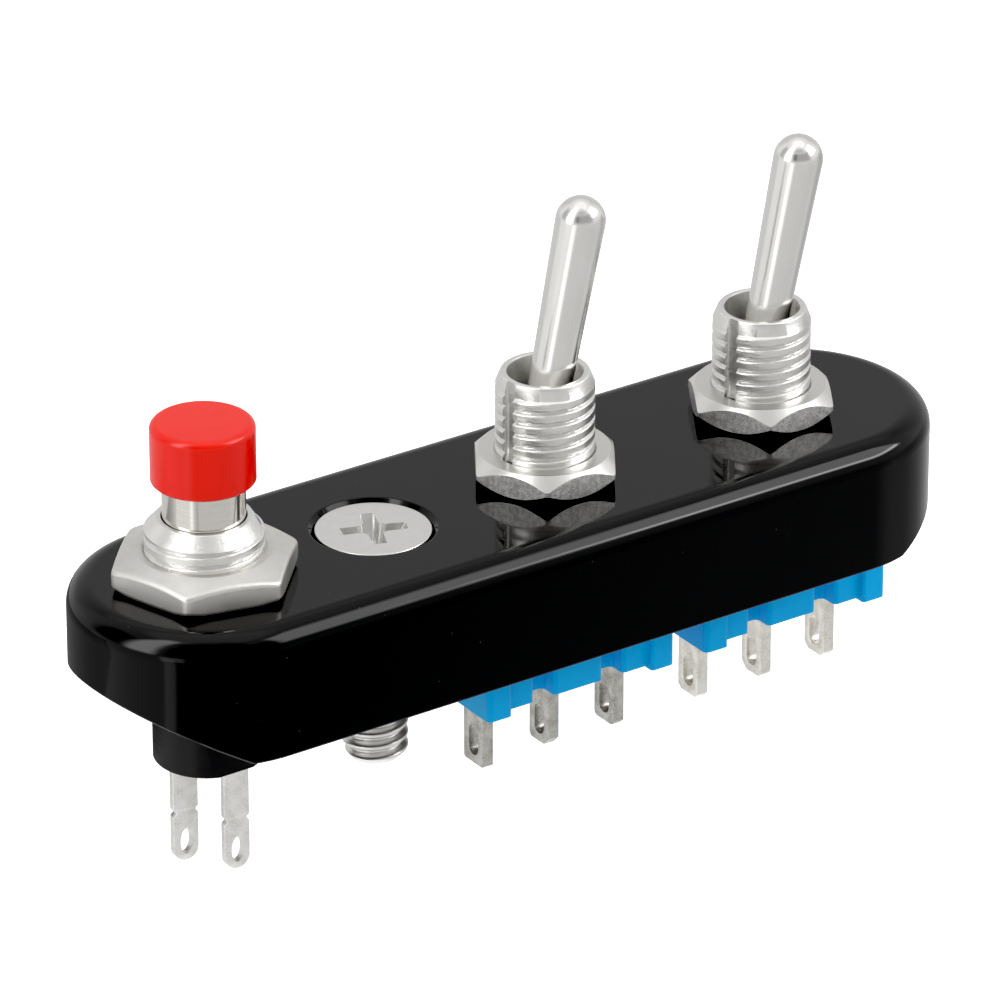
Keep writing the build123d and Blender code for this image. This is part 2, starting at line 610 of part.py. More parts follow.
with BuildPart() as button_bushing:
    with BuildSketch(upright(BUTTON_X)):
        with BuildLine():
            Polyline(
                (PLUNGER_DIAMETER / 2 + PLUNGER_CLEARANCE, BUTTON_BUSHING_TOP),
                (PLUNGER_DIAMETER / 2 + PLUNGER_CLEARANCE + BUTTON_RIM_WIDTH, BUTTON_BUSHING_TOP),
                (BUTTON_THREAD_DIAMETER / 2, BUTTON_BUSHING_TOP - BUTTON_RIM_BEVEL),
                (BUTTON_THREAD_DIAMETER / 2, POCKET_TOP),
                (FLANGE_RADIUS, POCKET_TOP),
                (FLANGE_RADIUS, FLANGE_LOW),
                (SKIRT_RADIUS, FLANGE_LOW),
                (SKIRT_RADIUS, SKIRT_LOW),
                (BASE_DIAMETER / 2, SKIRT_LOW),
                (BASE_DIAMETER / 2, BASE_TOP),
                (COLLAR_RADIUS + COLLAR_PLAY, BASE_TOP),
                (COLLAR_RADIUS + COLLAR_PLAY, COLLAR_TOP),
                (PLUNGER_DIAMETER / 2 + PLUNGER_CLEARANCE, COLLAR_TOP),
                close=True,
            )
        make_face()
    revolve(axis=BUTTON_AXIS)

button_nut_part = hex_nut(BUTTON_X, BUTTON_NUT_ACROSS_FLATS, BUTTON_NUT_THICKNESS, BUTTON_THREAD_DIAMETER,
                          BUTTON_NUT_TURN, BUTTON_NUT_TOP_CHAMFER, BUTTON_NUT_FOOT_CHAMFER,
                          countersink=BUTTON_NUT_COUNTERSINK)

with BuildPart() as button_plunger:
    with BuildSketch(upright(BUTTON_X)):
        with BuildLine():
            Polyline(
                (0, STUD_TOP),
                (STUD_RADIUS, STUD_TOP),
                (STUD_RADIUS, CAP_BOTTOM),
                (PLUNGER_DIAMETER / 2, CAP_BOTTOM),
                (PLUNGER_DIAMETER / 2, COLLAR_TOP - COLLAR_GAP),
                (COLLAR_RADIUS, COLLAR_TOP - COLLAR_GAP),
                (COLLAR_RADIUS, COLLAR_LOW),
                (0, COLLAR_LOW),
                close=True,
            )
        make_face()
    revolve(axis=BUTTON_AXIS)

with BuildPart() as button_cap:
    with BuildSketch(Plane.XY.offset(CAP_BOTTOM)):
        with Locations((BUTTON_X, 0)):
            Circle(CAP_DIAMETER / 2)
    extrude(amount=CAP_TOP - CAP_BOTTOM)
    fillet(button_cap.edges().group_by(Axis.Z)[-1], radius=CAP_EDGE_RADIUS)
    chamfer(button_cap.edges().group_by(Axis.Z)[0], length=CAP_FOOT_CHAMFER)
    with BuildSketch(Plane.XY.offset(CAP_BOTTOM)):
        with Locations((BUTTON_X, 0)):
            Circle(STUD_RADIUS)
    extrude(amount=STUD_TOP - CAP_BOTTOM, mode=Mode.SUBTRACT)

# insulating pusher between the metal plunger and the live bridge
with BuildPart() as button_pusher:
    with BuildSketch(upright(BUTTON_X)):
        with BuildLine():
            Polyline(
                (0, COLLAR_LOW),
                (PUSHER_RADIUS, COLLAR_LOW),
                (PUSHER_RADIUS, BRIDGE_TOP),
                (PEG_RADIUS, BRIDGE_TOP),
                (PEG_RADIUS, PEG_END),
                (0, PEG_END),
                close=True,
            )
        make_face()
    revolve(axis=BUTTON_AXIS)

with BuildPart() as button_bridge:
    with BuildSketch(Plane.XY.offset(BRIDGE_LOW)):
        with Locations((BUTTON_X, 0)):
            Circle(BRIDGE_RADIUS)
            Circle(PEG_RADIUS, mode=Mode.SUBTRACT)
    extrude(amount=BRIDGE_TOP - BRIDGE_LOW)

with BuildPart() as button_spring:
    with BuildSketch(Plane.XY.offset(SPRING_SEAT)):
        with Locations((BUTTON_X, 0)):
            Circle(SPRING_OUTER)
            Circle(SPRING_INNER, mode=Mode.SUBTRACT)
    extrude(amount=BRIDGE_LOW - SPRING_SEAT)

# black insulating base: turned outside with one flat, bored for the spring and the contacts
with BuildPart() as button_base:
    with BuildSketch(upright(BUTTON_X)):
        with BuildLine():
            Polyline(
                (BASE_CAVITY_RADIUS, BASE_TOP),
                (BASE_DIAMETER / 2, BASE_TOP),
                (BASE_DIAMETER / 2, BASE_BOTTOM),
                (0, BASE_BOTTOM),
                (0, SPRING_SEAT),
                (SPRING_OUTER + SPRING_ROOM, SPRING_SEAT),
                (SPRING_OUTER + SPRING_ROOM, BASE_FLOOR),
                (BASE_CAVITY_RADIUS, BASE_FLOOR),
                close=True,
            )
        make_face()
    revolve(axis=BUTTON_AXIS)
    with BuildSketch(Plane.XY.offset(BASE_BOTTOM)):
        with Locations((BUTTON_X, BASE_FLAT_DEPTH - BASE_DIAMETER / 2)):
            Rectangle(BASE_DIAMETER, BASE_DIAMETER, align=(Align.CENTER, Align.MAX))
    extrude(amount=BASE_FLAT_TOP - BASE_BOTTOM, mode=Mode.SUBTRACT)
    with BuildSketch(Plane.XY.offset(BASE_BOTTOM)):
        for sign in (-1, 1):
            with Locations((BUTTON_X + sign * LUG_OFFSET[0], -sign * LUG_OFFSET[1])):
                Rectangle(LUG_WIDTH, LUG_THICKNESS, rotation=LUG_TURN)
    extrude(amount=BASE_FLOOR - BASE_BOTTOM, mode=Mode.SUBTRACT)


def button_lug(sign):
    """Solder lug: a waisted strip with a round end, an oval eye and a contact head on the base's floor."""
    centre_x = BUTTON_X + sign * LUG_OFFSET[0]
    centre_y = -sign * LUG_OFFSET[1]
    turn = radians(LUG_TURN)
    across = (cos(turn), sin(turn), 0)
    through = (sin(turn), -cos(turn), 0)
    plane = Plane(origin=(centre_x, centre_y, 0), x_dir=across, z_dir=through)
    with BuildPart() as lug:
        with BuildSketch(plane):
            with Locations((0, (LUG_END + LUG_WIDTH / 2 + BASE_FLOOR) / 2)):
                Rectangle(LUG_WIDTH, BASE_FLOOR - LUG_END - LUG_WIDTH / 2)
            with Locations((0, LUG_END + LUG_WIDTH / 2)):
                Circle(LUG_WIDTH / 2)
            with Locations((0, LUG_END + LUG_EYE_RISE)):
                Ellipse(LUG_EYE[1] / 2, LUG_EYE[0] / 2, mode=Mode.SUBTRACT)
            with Locations((LUG_WIDTH / 2, LUG_WAIST_Z), (-LUG_WIDTH / 2, LUG_WAIST_Z)):
                Rectangle(LUG_NOTCH, LUG_NOTCH, rotation=45, mode=Mode.SUBTRACT)
        extrude(amount=LUG_THICKNESS / 2, both=True)
        with BuildSketch(Plane.XY.offset(BASE_FLOOR)):
            with Locations((centre_x, centre_y - sign * CONTACT_OFFSET)):
                Circle(CONTACT_RADIUS)
        extrude(amount=CONTACT_TOP - BASE_FLOOR)
    return lug.part


save(button_bushing.part, "button_bushing")
save(button_nut_part, "button_nut")
save(button_plunger.part, "button_plunger")
save(button_cap.part, "button_cap")
save(button_pusher.part, "button_pusher")
save(button_bridge.part, "button_bridge")
save(button_spring.part, "button_spring")
save(button_base.part, "button_base")
save(button_lug(-1), "button_lug_a")
save(button_lug(1), "button_lug_b")
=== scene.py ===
import json
from math import asin, atan2, cos, degrees, pi, radians, sin, sqrt, tan

import bmesh
import bpy
from mathutils import Matrix, Vector


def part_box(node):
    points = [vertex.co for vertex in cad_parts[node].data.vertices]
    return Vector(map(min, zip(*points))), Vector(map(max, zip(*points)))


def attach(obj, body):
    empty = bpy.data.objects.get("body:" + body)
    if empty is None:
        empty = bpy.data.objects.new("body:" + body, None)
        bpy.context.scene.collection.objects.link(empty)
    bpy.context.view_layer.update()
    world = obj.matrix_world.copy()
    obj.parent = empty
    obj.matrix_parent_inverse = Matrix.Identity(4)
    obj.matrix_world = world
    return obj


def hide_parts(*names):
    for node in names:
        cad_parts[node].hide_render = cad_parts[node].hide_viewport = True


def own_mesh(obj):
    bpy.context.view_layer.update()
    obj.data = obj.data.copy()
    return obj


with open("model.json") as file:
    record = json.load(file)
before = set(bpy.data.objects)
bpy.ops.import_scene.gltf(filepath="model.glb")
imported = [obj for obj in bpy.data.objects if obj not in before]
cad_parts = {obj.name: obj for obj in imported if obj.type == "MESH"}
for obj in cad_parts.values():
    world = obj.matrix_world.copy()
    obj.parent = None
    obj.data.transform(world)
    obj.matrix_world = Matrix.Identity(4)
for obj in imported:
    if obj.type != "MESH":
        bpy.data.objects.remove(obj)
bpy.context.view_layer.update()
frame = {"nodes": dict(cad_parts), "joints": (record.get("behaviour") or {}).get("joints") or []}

# Handlebar switch: two toggle switches, a push button and their clamp screw in one billet housing.
# Shapes are drawn in millimetres in the CAD frame and turned to metres when a piece is made.
# Origin on the clamp screw's axis in the underside's plane, +X along the housing, +Z up out of its top face.

MM = 0.001
SCENE = bpy.context.scene


# ---- places and sizes from the frame ----
def box_mm(node_name):
    """Lowest and highest corner of a CAD node, in millimetres."""
    low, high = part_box(node_name)
    return low / MM, high / MM


def joint(name):
    """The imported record's row of one joint."""
    return next(row for row in frame["joints"] if row["name"] == name)


HOUSING_LOW, HOUSING_HIGH = box_mm("housing")
TOP = HOUSING_HIGH.z
TOGGLE_X = {n: joint(f"lever_{n}_throw")["pos_m"][0] / MM for n in (1, 2)}
LEVER_PIVOT_Z = joint("lever_1_throw")["pos_m"][2] / MM
LEVER_LEAN = radians(-joint("lever_1_throw")["range_deg"][0] / 2)
ROCKER_PIVOT_Z = joint("rocker_1_tilt")["pos_m"][2] / MM
BUTTON_X = sum(corner.x for corner in box_mm("button_cap")) / 2
POCKET_TOP = box_mm("toggle_1_frame")[1].z
CASE_LOW, CASE_HIGH = box_mm("toggle_1_case")
CASE_HALF = (CASE_HIGH.x - CASE_LOW.x) / 2
FLOOR_Z = box_mm("button_lug_a")[0].z

# ---- sizes that the frame's boxes don't give ----
TOP_EDGE_RADIUS = 1.5
LEFT_BEVEL = (6.05, 28.8)         # length from the tip, degrees
RIGHT_BEVEL = (5.65, 20.9)
HOUSING_EDGE = 0.1
TOGGLE_POCKET = (8.6, 0.4, 1.5)   # width, margin round the cases, corner radius
BUTTON_POCKET_RADIUS = 4.7
HOLE_PLAY = 0.08                  # round a bushing in the housing

SCREW_HOLE_RADIUS = 2.15
SCREW_SINK_RADIUS = 3.75
SCREW_SHANK_RADIUS = 1.75
SCREW_THREAD_RADIUS = 1.95
SCREW_THREAD = (0.36, 0.8, 0.46)  # depth, pitch, half of a groove's width as a part of the pitch
SCREW_TIP_CHAMFER = 0.45
RECESS_SPAN = 3.97
RECESS_SLOT = 0.85
RECESS_DEPTH = 1.4
RECESS_TURN = -22.0

BUSHING_RADIUS = 2.925
BUSHING_THREAD = (0.2, 0.75, 0.24)
BUSHING_KEYWAY = (0.85, 0.36)     # width, depth
KEYWAY_TURN = {1: 7.0, 2: 15.0}   # degrees round from -X towards -Y
NUT_FLATS = 8.1
NUT_TURN = {1: 27.0, 2: 31.5}
SEAT_RADIUS = 2.08                # the ball's seat inside the bushing

LEVER_BALL = 2.0
LEVER_NECK = 1.25
LEVER_DOME = (1.48, 11.86)        # radius, reach from the pivot
LEVER_SHANK = 1.2
LEVER_END = -3.2
LEVER_BORE = (0.78, -0.9)         # radius, top
TRUNNION = (0.45, 2.4)            # radius, reach

CASE_WALL_Y = 3.55
PILASTER = 1.65
GROOVE = (4.9, 1.4, 1.2)          # pitch, width, depth
CASE_UNDERCUT = 0.22
CASE_FLOOR = 1.3
CAVITY = (5.45, 2.85)             # half length, half width
FRAME_LEG = (0.4, 2.3)            # thickness, half width
TERMINAL_PITCH = 4.7
BLADE = (1.0, 0.76)               # half width, thickness
BLADE_SLOT = (1.5, 1.9, 0.95)     # middle above the tip, length, width
BLADE_TIPS = {1: {"a": (0.1, 0.12), "b": (0.5, 0.2), "c": (0.25, 0.2)},     # corners cut off at -Y and +Y
              2: {"a": (0.25, 0.3), "b": (0.3, 0.5), "c": (0.35, 0.4)}}

BUTTON_THREAD_RADIUS = 3.45
BUTTON_NUT_FLATS = 9.8
BUTTON_NUT_TURN = 17.0
PLUNGER_RADIUS = 2.4
PLUNGER_COLLAR = (2.8, 6.38)      # radius, top
STUD = (1.5, 16.4)                # radius, top, inside the cap
BASE_RADIUS = 3.2
BASE_FLAT = (0.28, 0.6, 8.0)      # depth, top, degrees that it leans back
LUG = (1.6, 0.5, -4.0)            # width, thickness, turn in degrees
LUG_PLACE = (0.95, 1.25)          # from the button's axis
LUG_TOP = -0.75
LUG_WAIST = (-7.3, 0.21)          # height, depth of its notches
LUG_EYE = (1.25, 0.8, 0.375)      # middle above the tip, half height, half width

ARC_STEPS = 6                     # facets on a small rounded corner
HOLD = 0.02                       # width of the flat strip that keeps a plane flat beside a rounding


# ---- outlines and meshes ----
def soften(corners, closed=False, steps=ARC_STEPS):
    """Points of an outline whose corners are (u, v, radius); radius 0 leaves a corner sharp."""
    points = []
    count = len(corners)
    for i, (u, v, radius) in enumerate(corners):
        here = Vector((u, v))
        if radius == 0 or (not closed and i in (0, count - 1)):
            points.append(here)
            continue
        before = (Vector(corners[i - 1][:2]) - here).normalized()
        after = (Vector(corners[(i + 1) % count][:2]) - here).normalized()
        half = before.angle(after) / 2
        reach = radius / tan(half)
        middle = here + (before + after).normalized() * (radius / sin(half))
        start = here + before * reach - middle
        sweep = pi - 2 * half
        turn = 1 if start.x * (here - middle).y - start.y * (here - middle).x > 0 else -1
        points.append(middle + start + before * HOLD)
        for step in range(steps + 1):
            points.append(middle + Matrix.Rotation(turn * sweep * step / steps, 2) @ start)
        points.append(here + after * (reach + HOLD))
    return points


def arc(radius, start, sweep, steps, u=0.0, v=0.0):
    """Corners along an arc about (u, v)."""
    return [(u + radius * cos(start + sweep * i / steps), v + radius * sin(start + sweep * i / steps), 0)
            for i in range(steps + 1)]


def rectangle(half_u, half_v):
    """A plain rectangle about the middle."""
    return [(-half_u, -half_v), (half_u, -half_v), (half_u, half_v), (-half_u, half_v)]


def loft(rings):
    """Joins rings of points into a closed mesh that is capped at both ends."""
    shell = bmesh.new()
    rows = [[shell.verts.new(point) for point in ring] for ring in rings]
    for first, second in zip(rows, rows[1:]):
        for i in range(len(first)):
            j = (i + 1) % len(first)
            shell.faces.new((first[i], first[j], second[j], second[i]))
    shell.faces.new(rows[0])
    shell.faces.new(rows[-1])
    return shell


def turned(outline, place, sides=96):
    """Turns an (r, z) outline about the z axis of a placing matrix. The outline may be a function of the angle."""
    shell = bmesh.new()
    rows = []
    for side in range(sides):
        angle = 2 * pi * side / sides
        points = outline(angle) if callable(outline) else outline
        rows.append([shell.verts.new(place @ Vector((p[0] * cos(angle), p[0] * sin(angle), p[1]))) for p in points])
    count = len(rows[0])
    hollow = callable(outline) or (outline[0][0] > 0 and outline[-1][0] > 0)
    for side in range(sides):
        first, second = rows[side], rows[(side + 1) % sides]
        for i in range(count if hollow else count - 1):
            j = (i + 1) % count
            shell.faces.new((first[i], second[i], second[j], first[j]))
    return shell


def prism(outline, place, low, high):
    """A straight bar with an (x, y) outline between two heights of a placing matrix."""
    return loft([[place @ Vector((p[0], p[1], z)) for p in outline] for z in (low, high)])


def at(x, z=0.0, y=0.0):
    """A placing matrix that only moves."""
    return Matrix.Translation((x, y, z))


UPRIGHT_XZ = Matrix(((1, 0, 0, 0), (0, 0, -1, 0), (0, 1, 0, 0), (0, 0, 0, 1)))   # outline in X and Z, depth along -Y
UPRIGHT_YZ = Matrix(((0, 0, 1, 0), (1, 0, 0, 0), (0, 1, 0, 0), (0, 0, 0, 1)))    # outline in Y and Z, depth along X


def made(name, shell):
    """Merges a shell's doubles, points its faces outwards and makes an object of it, in metres."""
    bmesh.ops.remove_doubles(shell, verts=shell.verts, dist=1e-5)
    bmesh.ops.recalc_face_normals(shell, faces=shell.faces)
    bmesh.ops.scale(shell, vec=(MM, MM, MM), verts=shell.verts)
    mesh = bpy.data.meshes.new(name)
    shell.to_mesh(mesh)
    shell.free()
    thing = bpy.data.objects.new(name, mesh)
    SCENE.collection.objects.link(thing)
    return thing


def settle(thing):
    """Turns a thing's modifiers into plain mesh."""
    graph = bpy.context.evaluated_depsgraph_get()
    mesh = bpy.data.meshes.new_from_object(thing.evaluated_get(graph))
    thing.modifiers.clear()
    thing.data = mesh
    mesh.name = thing.name
    return thing


def bevelled(thing, width, segments, angle):
    """Rounds the edges that are sharper than an angle."""
    bevel = thing.modifiers.new("edges", "BEVEL")
    bevel.width = width * MM
    bevel.segments = segments
    bevel.limit_method = "ANGLE"
    bevel.angle_limit = radians(angle)
    return settle(thing)


def carved(thing, *shells, operation="DIFFERENCE"):
    """Cuts shells out of a thing, or adds them to it."""
    for shell in shells:
        tool = made("tool", shell)
        boolean = thing.modifiers.new("carve", "BOOLEAN")
        boolean.operation = operation
        boolean.solver = "EXACT"
        boolean.object = tool
        settle(thing)
        bpy.data.objects.remove(tool)
    return thing


def dressed(thing, body, material, node_name, smooth=30):
    """Finishes a piece: shading, material, the body it rides on and the CAD node it stands for."""
    mesh = thing.data
    mesh.materials.clear()
    mesh.materials.append(material)
    mesh.polygons.foreach_set("material_index", [0] * len(mesh.polygons))
    mesh.shade_smooth()
    mesh.set_sharp_from_angle(angle=radians(smooth))
    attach(thing, body)
    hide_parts(node_name)
    return thing


# ---- nodes ----
NOISE = "ShaderNodeTexNoise"
STRETCH = "ShaderNodeMapping"
RANGE = "ShaderNodeMapRange"
MIX = "ShaderNodeMix"
MATH = "ShaderNodeMath"
VECTOR_MATH = "ShaderNodeVectorMath"
EASED = {"interpolation_type": "SMOOTHSTEP"}
COLOURS = {"data_type": "RGBA"}
NUMBERS = {"data_type": "FLOAT"}
PLUS = {"operation": "ADD"}
MINUS = {"operation": "SUBTRACT"}
TIMES = {"operation": "MULTIPLY"}
TIMES_PLUS = {"operation": "MULTIPLY_ADD"}
DIVIDED = {"operation": "DIVIDE"}
MORE = {"operation": "GREATER_THAN"}
SIZE = {"operation": "ABSOLUTE"}


def linear(hex_colour):
    """Linear RGBA of an sRGB colour such as 0x1b1c1e."""
    parts = [(hex_colour >> shift & 255) / 255 for shift in (16, 8, 0)]
    return (*[c / 12.92 if c <= 0.04045 else ((c + 0.055) / 1.055) ** 2.4 for c in parts], 1.0)


def per(size_mm):
    """The texture scale that gives marks of about a size in millimetres."""
    return 1 / (size_mm * MM)


def add(tree, kind, inputs=None, settings=None, output=0):
    """Adds a node, sets its properties, sets or links its inputs, and gives back one of its outputs."""
    node = tree.nodes.new(kind)
    for name, value in (settings or {}).items():
        setattr(node, name, value)
    for name, value in (inputs or {}).items():
        if isinstance(value, bpy.types.NodeSocket):
            tree.links.new(value, node.inputs[name])
        else:
            node.inputs[name].default_value = value
    return node.outputs[output] if node.outputs else node


def finish(name, colour, metallic, roughness, **sockets):
    """A new material with its Principled shader, its tree, and the object coordinates its patterns read."""
    material = bpy.data.materials.new(name)
    material.use_nodes = True
    tree = material.node_tree
    shader = tree.nodes["Principled BSDF"].inputs
    shader["Base Color"].default_value = linear(colour)
    shader["Metallic"].default_value = metallic
    shader["Roughness"].default_value = roughness
    for socket, value in sockets.items():
        shader[socket.replace("_", " ")].default_value = value
    return material, tree, add(tree, "ShaderNodeTexCoord", output="Object")


def coated(material, tones=None, worn=None, press=None, ramp=EASED):
    """Ties patterns to a material: two tones, a roughness that keeps to one side of 0.27, and a relief in mm.

    A denoiser takes a surface below 0.27 for a mirror, and a change from one to the other shows as a line.
    """
    tree = material.node_tree
    shader = tree.nodes["Principled BSDF"].inputs
    if tones:
        pattern, *pair = tones
        first, second = [linear(tone) if isinstance(tone, int) else tone for tone in pair]
        tree.links.new(add(tree, MIX, {0: pattern, 6: first, 7: second}, COLOURS, output=2), shader["Base Color"])
    if worn:
        pattern, start, end, low, high = worn
        limits = {"From Min": start, "From Max": end, "To Min": low, "To Max": high}
        tree.links.new(add(tree, RANGE, {0: pattern, **limits}, ramp), shader["Roughness"])
    if press:
        pattern, depth, strength = press
        relief = {"Height": pattern, "Distance": depth * MM, "Strength": strength}
        tree.links.new(add(tree, "ShaderNodeBump", relief), shader["Normal"])
    return material


# ---- finishes ----
def gloss_black_aluminium():
    """Billet aluminium under gloss black: mirrors its neighbours, with a faint orange peel and a few dust specks."""
    material, tree, where = finish("gloss_black_aluminium", 0x050506, 0.0, 0.07, IOR=1.45)
    peel = add(tree, NOISE, {"Vector": where, "Scale": per(1.6), "Detail": 1.0})
    cloud = add(tree, NOISE, {"Vector": where, "Scale": per(3.0)})
    dust = add(tree, "ShaderNodeTexVoronoi", {"Vector": where, "Scale": per(1.4)})
    speck = add(tree, RANGE, {0: dust, "From Min": 0.04, "From Max": 0.02}, EASED)
    return coated(material, (speck, 0x050506, 0x38383A), (cloud, 0.35, 0.7, 0.05, 0.12), (peel, 0.004, 0.5))


def nickel_plated_brass():
    """Bright nickel over turned brass: pale and soft, with fine turning marks round every axis and a grainy sparkle."""
    material, tree, where = finish("nickel_plated_brass", 0xE8E7E5, 1.0, 0.3)
    patch = add(tree, NOISE, {"Vector": where, "Scale": per(0.5), "Detail": 4.0})
    along = add(tree, STRETCH, {"Vector": where, "Scale": (0.15, 0.15, 1.0)})
    rings = add(tree, NOISE, {"Vector": along, "Scale": per(0.1), "Detail": 3.0})
    grit = add(tree, NOISE, {"Vector": where, "Scale": per(0.14), "Detail": 3.0})
    rough = add(tree, MATH, {0: rings, 1: grit}, PLUS)
    return coated(material, (patch, 0xF2F1EE, 0xDEDDDA), (patch, 0.3, 0.75, 0.28, 0.36), (rough, 0.016, 0.7))


def grained_nickel():
    """Nickel over a drawn hexagon bar: its upright flats are pitted and dull, its turned faces bright and smooth."""
    material, tree, where = finish("grained_nickel", 0xDCDBD8, 1.0, 0.26)
    facing = add(tree, "ShaderNodeNewGeometry", output="Normal")
    lift = add(tree, "ShaderNodeSeparateXYZ", {0: facing}, output=2)
    steep = add(tree, MATH, {0: lift}, SIZE)
    flat = add(tree, RANGE, {0: steep, "From Min": 0.25, "From Max": 0.1}, EASED)
    pits = add(tree, NOISE, {"Vector": where, "Scale": per(0.07), "Detail": 4.0})
    blotch = add(tree, NOISE, {"Vector": where, "Scale": per(0.28), "Detail": 4.0})
    both = add(tree, MATH, {0: pits, 1: blotch}, TIMES)
    spread = add(tree, RANGE, {0: both, "From Min": 0.14, "From Max": 0.38}, EASED)
    pitted = add(tree, MIX, {0: spread, 6: linear(0xC8C7C4), 7: linear(0xFCFBF9)}, COLOURS, output=2)
    depth = add(tree, MATH, {0: pits, 1: flat}, TIMES)
    return coated(material, (flat, 0xDEDDDA, pitted), (flat, 0.0, 1.0, 0.28, 0.42), (depth, 0.03, 0.7), ramp=None)


def silvered_brass(name, bright, dull):
    """Punched brass strip under silver: an even light grey, clouded and finely speckled where it has dulled."""
    material, tree, where = finish(name, bright, 1.0, 0.38)
    cloud = add(tree, NOISE, {"Vector": where, "Scale": per(0.8), "Detail": 2.0})
    specks = add(tree, NOISE, {"Vector": where, "Scale": per(0.09), "Detail": 3.0})
    both = add(tree, MATH, {0: cloud, 1: specks}, TIMES)
    dulled = add(tree, RANGE, {0: both, "From Min": 0.12, "From Max": 0.42}, EASED)
    return coated(material, (dulled, bright, dull), (cloud, 0.3, 0.7, 0.32, 0.44), (specks, 0.006, 0.5))


def patterned(name, colour, metallic, roughness, marks, tones=None, worn=None, press=None, grit=None, ramp=EASED,
              stretch=None, **sockets):
    """A finish with one pattern: marks are its size in mm and detail, and grit is a finer pattern with its relief."""
    material, tree, where = finish(name, colour, metallic, roughness, **sockets)
    along = add(tree, STRETCH, {"Vector": where, "Scale": stretch}) if stretch else where
    pattern = add(tree, NOISE, {"Vector": along, "Scale": per(marks[0]), "Detail": marks[1]})
    if grit:
        size, detail, *press = grit
        fine = add(tree, NOISE, {"Vector": where, "Scale": per(size), "Detail": detail})
    return coated(material, tones and (pattern, *tones), worn and (pattern, *worn),
                  press and (fine if grit else pattern, *press), ramp)


BLACK = gloss_black_aluminium()
NICKEL = nickel_plated_brass()
NUT_NICKEL = grained_nickel()
LUG_SILVER = silvered_brass("silvered_lug", 0xF8F7F5, 0xE0DED9)
# The first toggle's blades get a darker copy of the same silver: its lower tones are painted shade from the housing
# above them.
BLADE_SILVER = {1: silvered_brass("shade_painted_silver_blade", 0xD2D1CC, 0xA6A49D),
                2: silvered_brass("silvered_blade", 0xF6F4EE, 0xD8D5CA)}
# Barrelled and plated nut: satin, with softened edges and faint clouds.
BUTTON_NUT_NICKEL = patterned("satin_nickel", 0xE2E1DE, 1.0, 0.42, (1.2, 3.0), (0xE6E5E2, 0xCFCDC8),
                              (0.3, 0.7, 0.38, 0.48), grit=(0.2, 4.0, 0.008, 0.4))
# Buffed and plated lever: a bright mirror, softened by faint smears from fingers.
CHROME = patterned("polished_chrome", 0xE9E8E6, 1.0, 0.16, (1.2, 3.0), (0xEEEDEB, 0xE0DFDC),
                   (0.4, 0.75, 0.15, 0.22), stretch=(1.0, 1.0, 0.35))
# Turned and plated plunger: a clear grey mirror drawn out in fine rings.
PLUNGER = patterned("plated_plunger", 0xD8D5CF, 1.0, 0.09, (0.1, 2.0), (0xE8E6E1, 0xDAD6CE),
                    (0.3, 0.7, 0.07, 0.13), (0.002, 0.3), stretch=(0.1, 0.1, 1.0))
# Cold-headed screw under bright zinc: flat light grey, slightly mottled and burred at its edges.
ZINC = patterned("zinc_plated_steel", 0xDCDBD9, 1.0, 0.32, (0.5, 5.0), (0xF0EFED, 0xDEDDDB),
                 (0.3, 0.7, 0.29, 0.38), grit=(0.15, 4.0, 0.004, 0.3))
# Rolled steel sheet under dull tin: grey, with marks along the roll.
TIN = patterned("tin_plated_sheet", 0xB9B7B1, 1.0, 0.34, (0.3, 3.0), (0xC4C3BF, 0xABA9A3),
                (0.3, 0.7, 0.28, 0.44), stretch=(0.1, 1.0, 1.0))
# Half-hard copper strip with a dull bloom.
COPPER = patterned("copper_strip", 0xC98462, 1.0, 0.32, (0.9, 3.0), (0xD7966F, 0xA8684B), (0.3, 0.7, 0.29, 0.4))
# Drawn spring wire with a bright skin.
SPRING = patterned("spring_wire", 0xA9A8A6, 1.0, 0.32, (0.1, 2.0), worn=(0.3, 0.7, 0.29, 0.38))
# Pigmented plastic cap: strong, slightly clouded red under a soft moulded gloss.
RED = patterned("red_moulded_plastic", 0xDC241A, 0.0, 0.23, (2.0, 2.0), (0xE8281D, 0xDF2116),
                (0.0, 1.0, 0.2, 0.26), ramp=None, IOR=1.5)
# Bright blue moulded case: semi-matt, with a fine mould grain.
BLUE = patterned("blue_moulded_thermoset", 0x02A8EA, 0.0, 0.45, (1.4, 3.0), (0x04AEF0, 0x02A0E0),
                 grit=(0.14, 3.0, 0.008, 0.5), IOR=1.45)
# Turned black insulator: deep black with a silky sheen along its edges.
BASE_BLACK = patterned("black_moulded_thermoset", 0x08080A, 0.0, 0.36, (0.2, 2.0), worn=(0.3, 0.7, 0.32, 0.42),
                       press=(0.004, 0.4), stretch=(0.1, 0.1, 1.0), IOR=1.5)
# Unpigmented nylon: milky and slightly waxy.
NYLON = patterned("natural_nylon", 0xDDD9CE, 0.0, 0.4, (1.0, 2.0), (0xE6E2D9, 0xD0CABB), IOR=1.53)


# ---- geometry node trees ----
def new_tree(name, sizes):
    """An empty geometry tree with a mesh in, a mesh out and named sizes."""
    tree = bpy.data.node_groups.new(name, "GeometryNodeTree")
    tree.interface.new_socket("Geometry", in_out="INPUT", socket_type="NodeSocketGeometry")
    for size, value in sizes.items():
        tree.interface.new_socket(size, in_out="INPUT", socket_type="NodeSocketFloat").default_value = value
    tree.interface.new_socket("Finish", in_out="INPUT", socket_type="NodeSocketMaterial")
    tree.interface.new_socket("Geometry", in_out="OUTPUT", socket_type="NodeSocketGeometry")
    return tree, add(tree, "NodeGroupInput").node.outputs


def ended(tree, given, geometry):
    """Ends a tree: instances made real and the finish set."""
    real = add(tree, "GeometryNodeRealizeInstances", {0: geometry})
    coated = add(tree, "GeometryNodeSetMaterial", {"Geometry": real, "Material": given["Finish"]})
    add(tree, "NodeGroupOutput", {0: coated})
    return tree


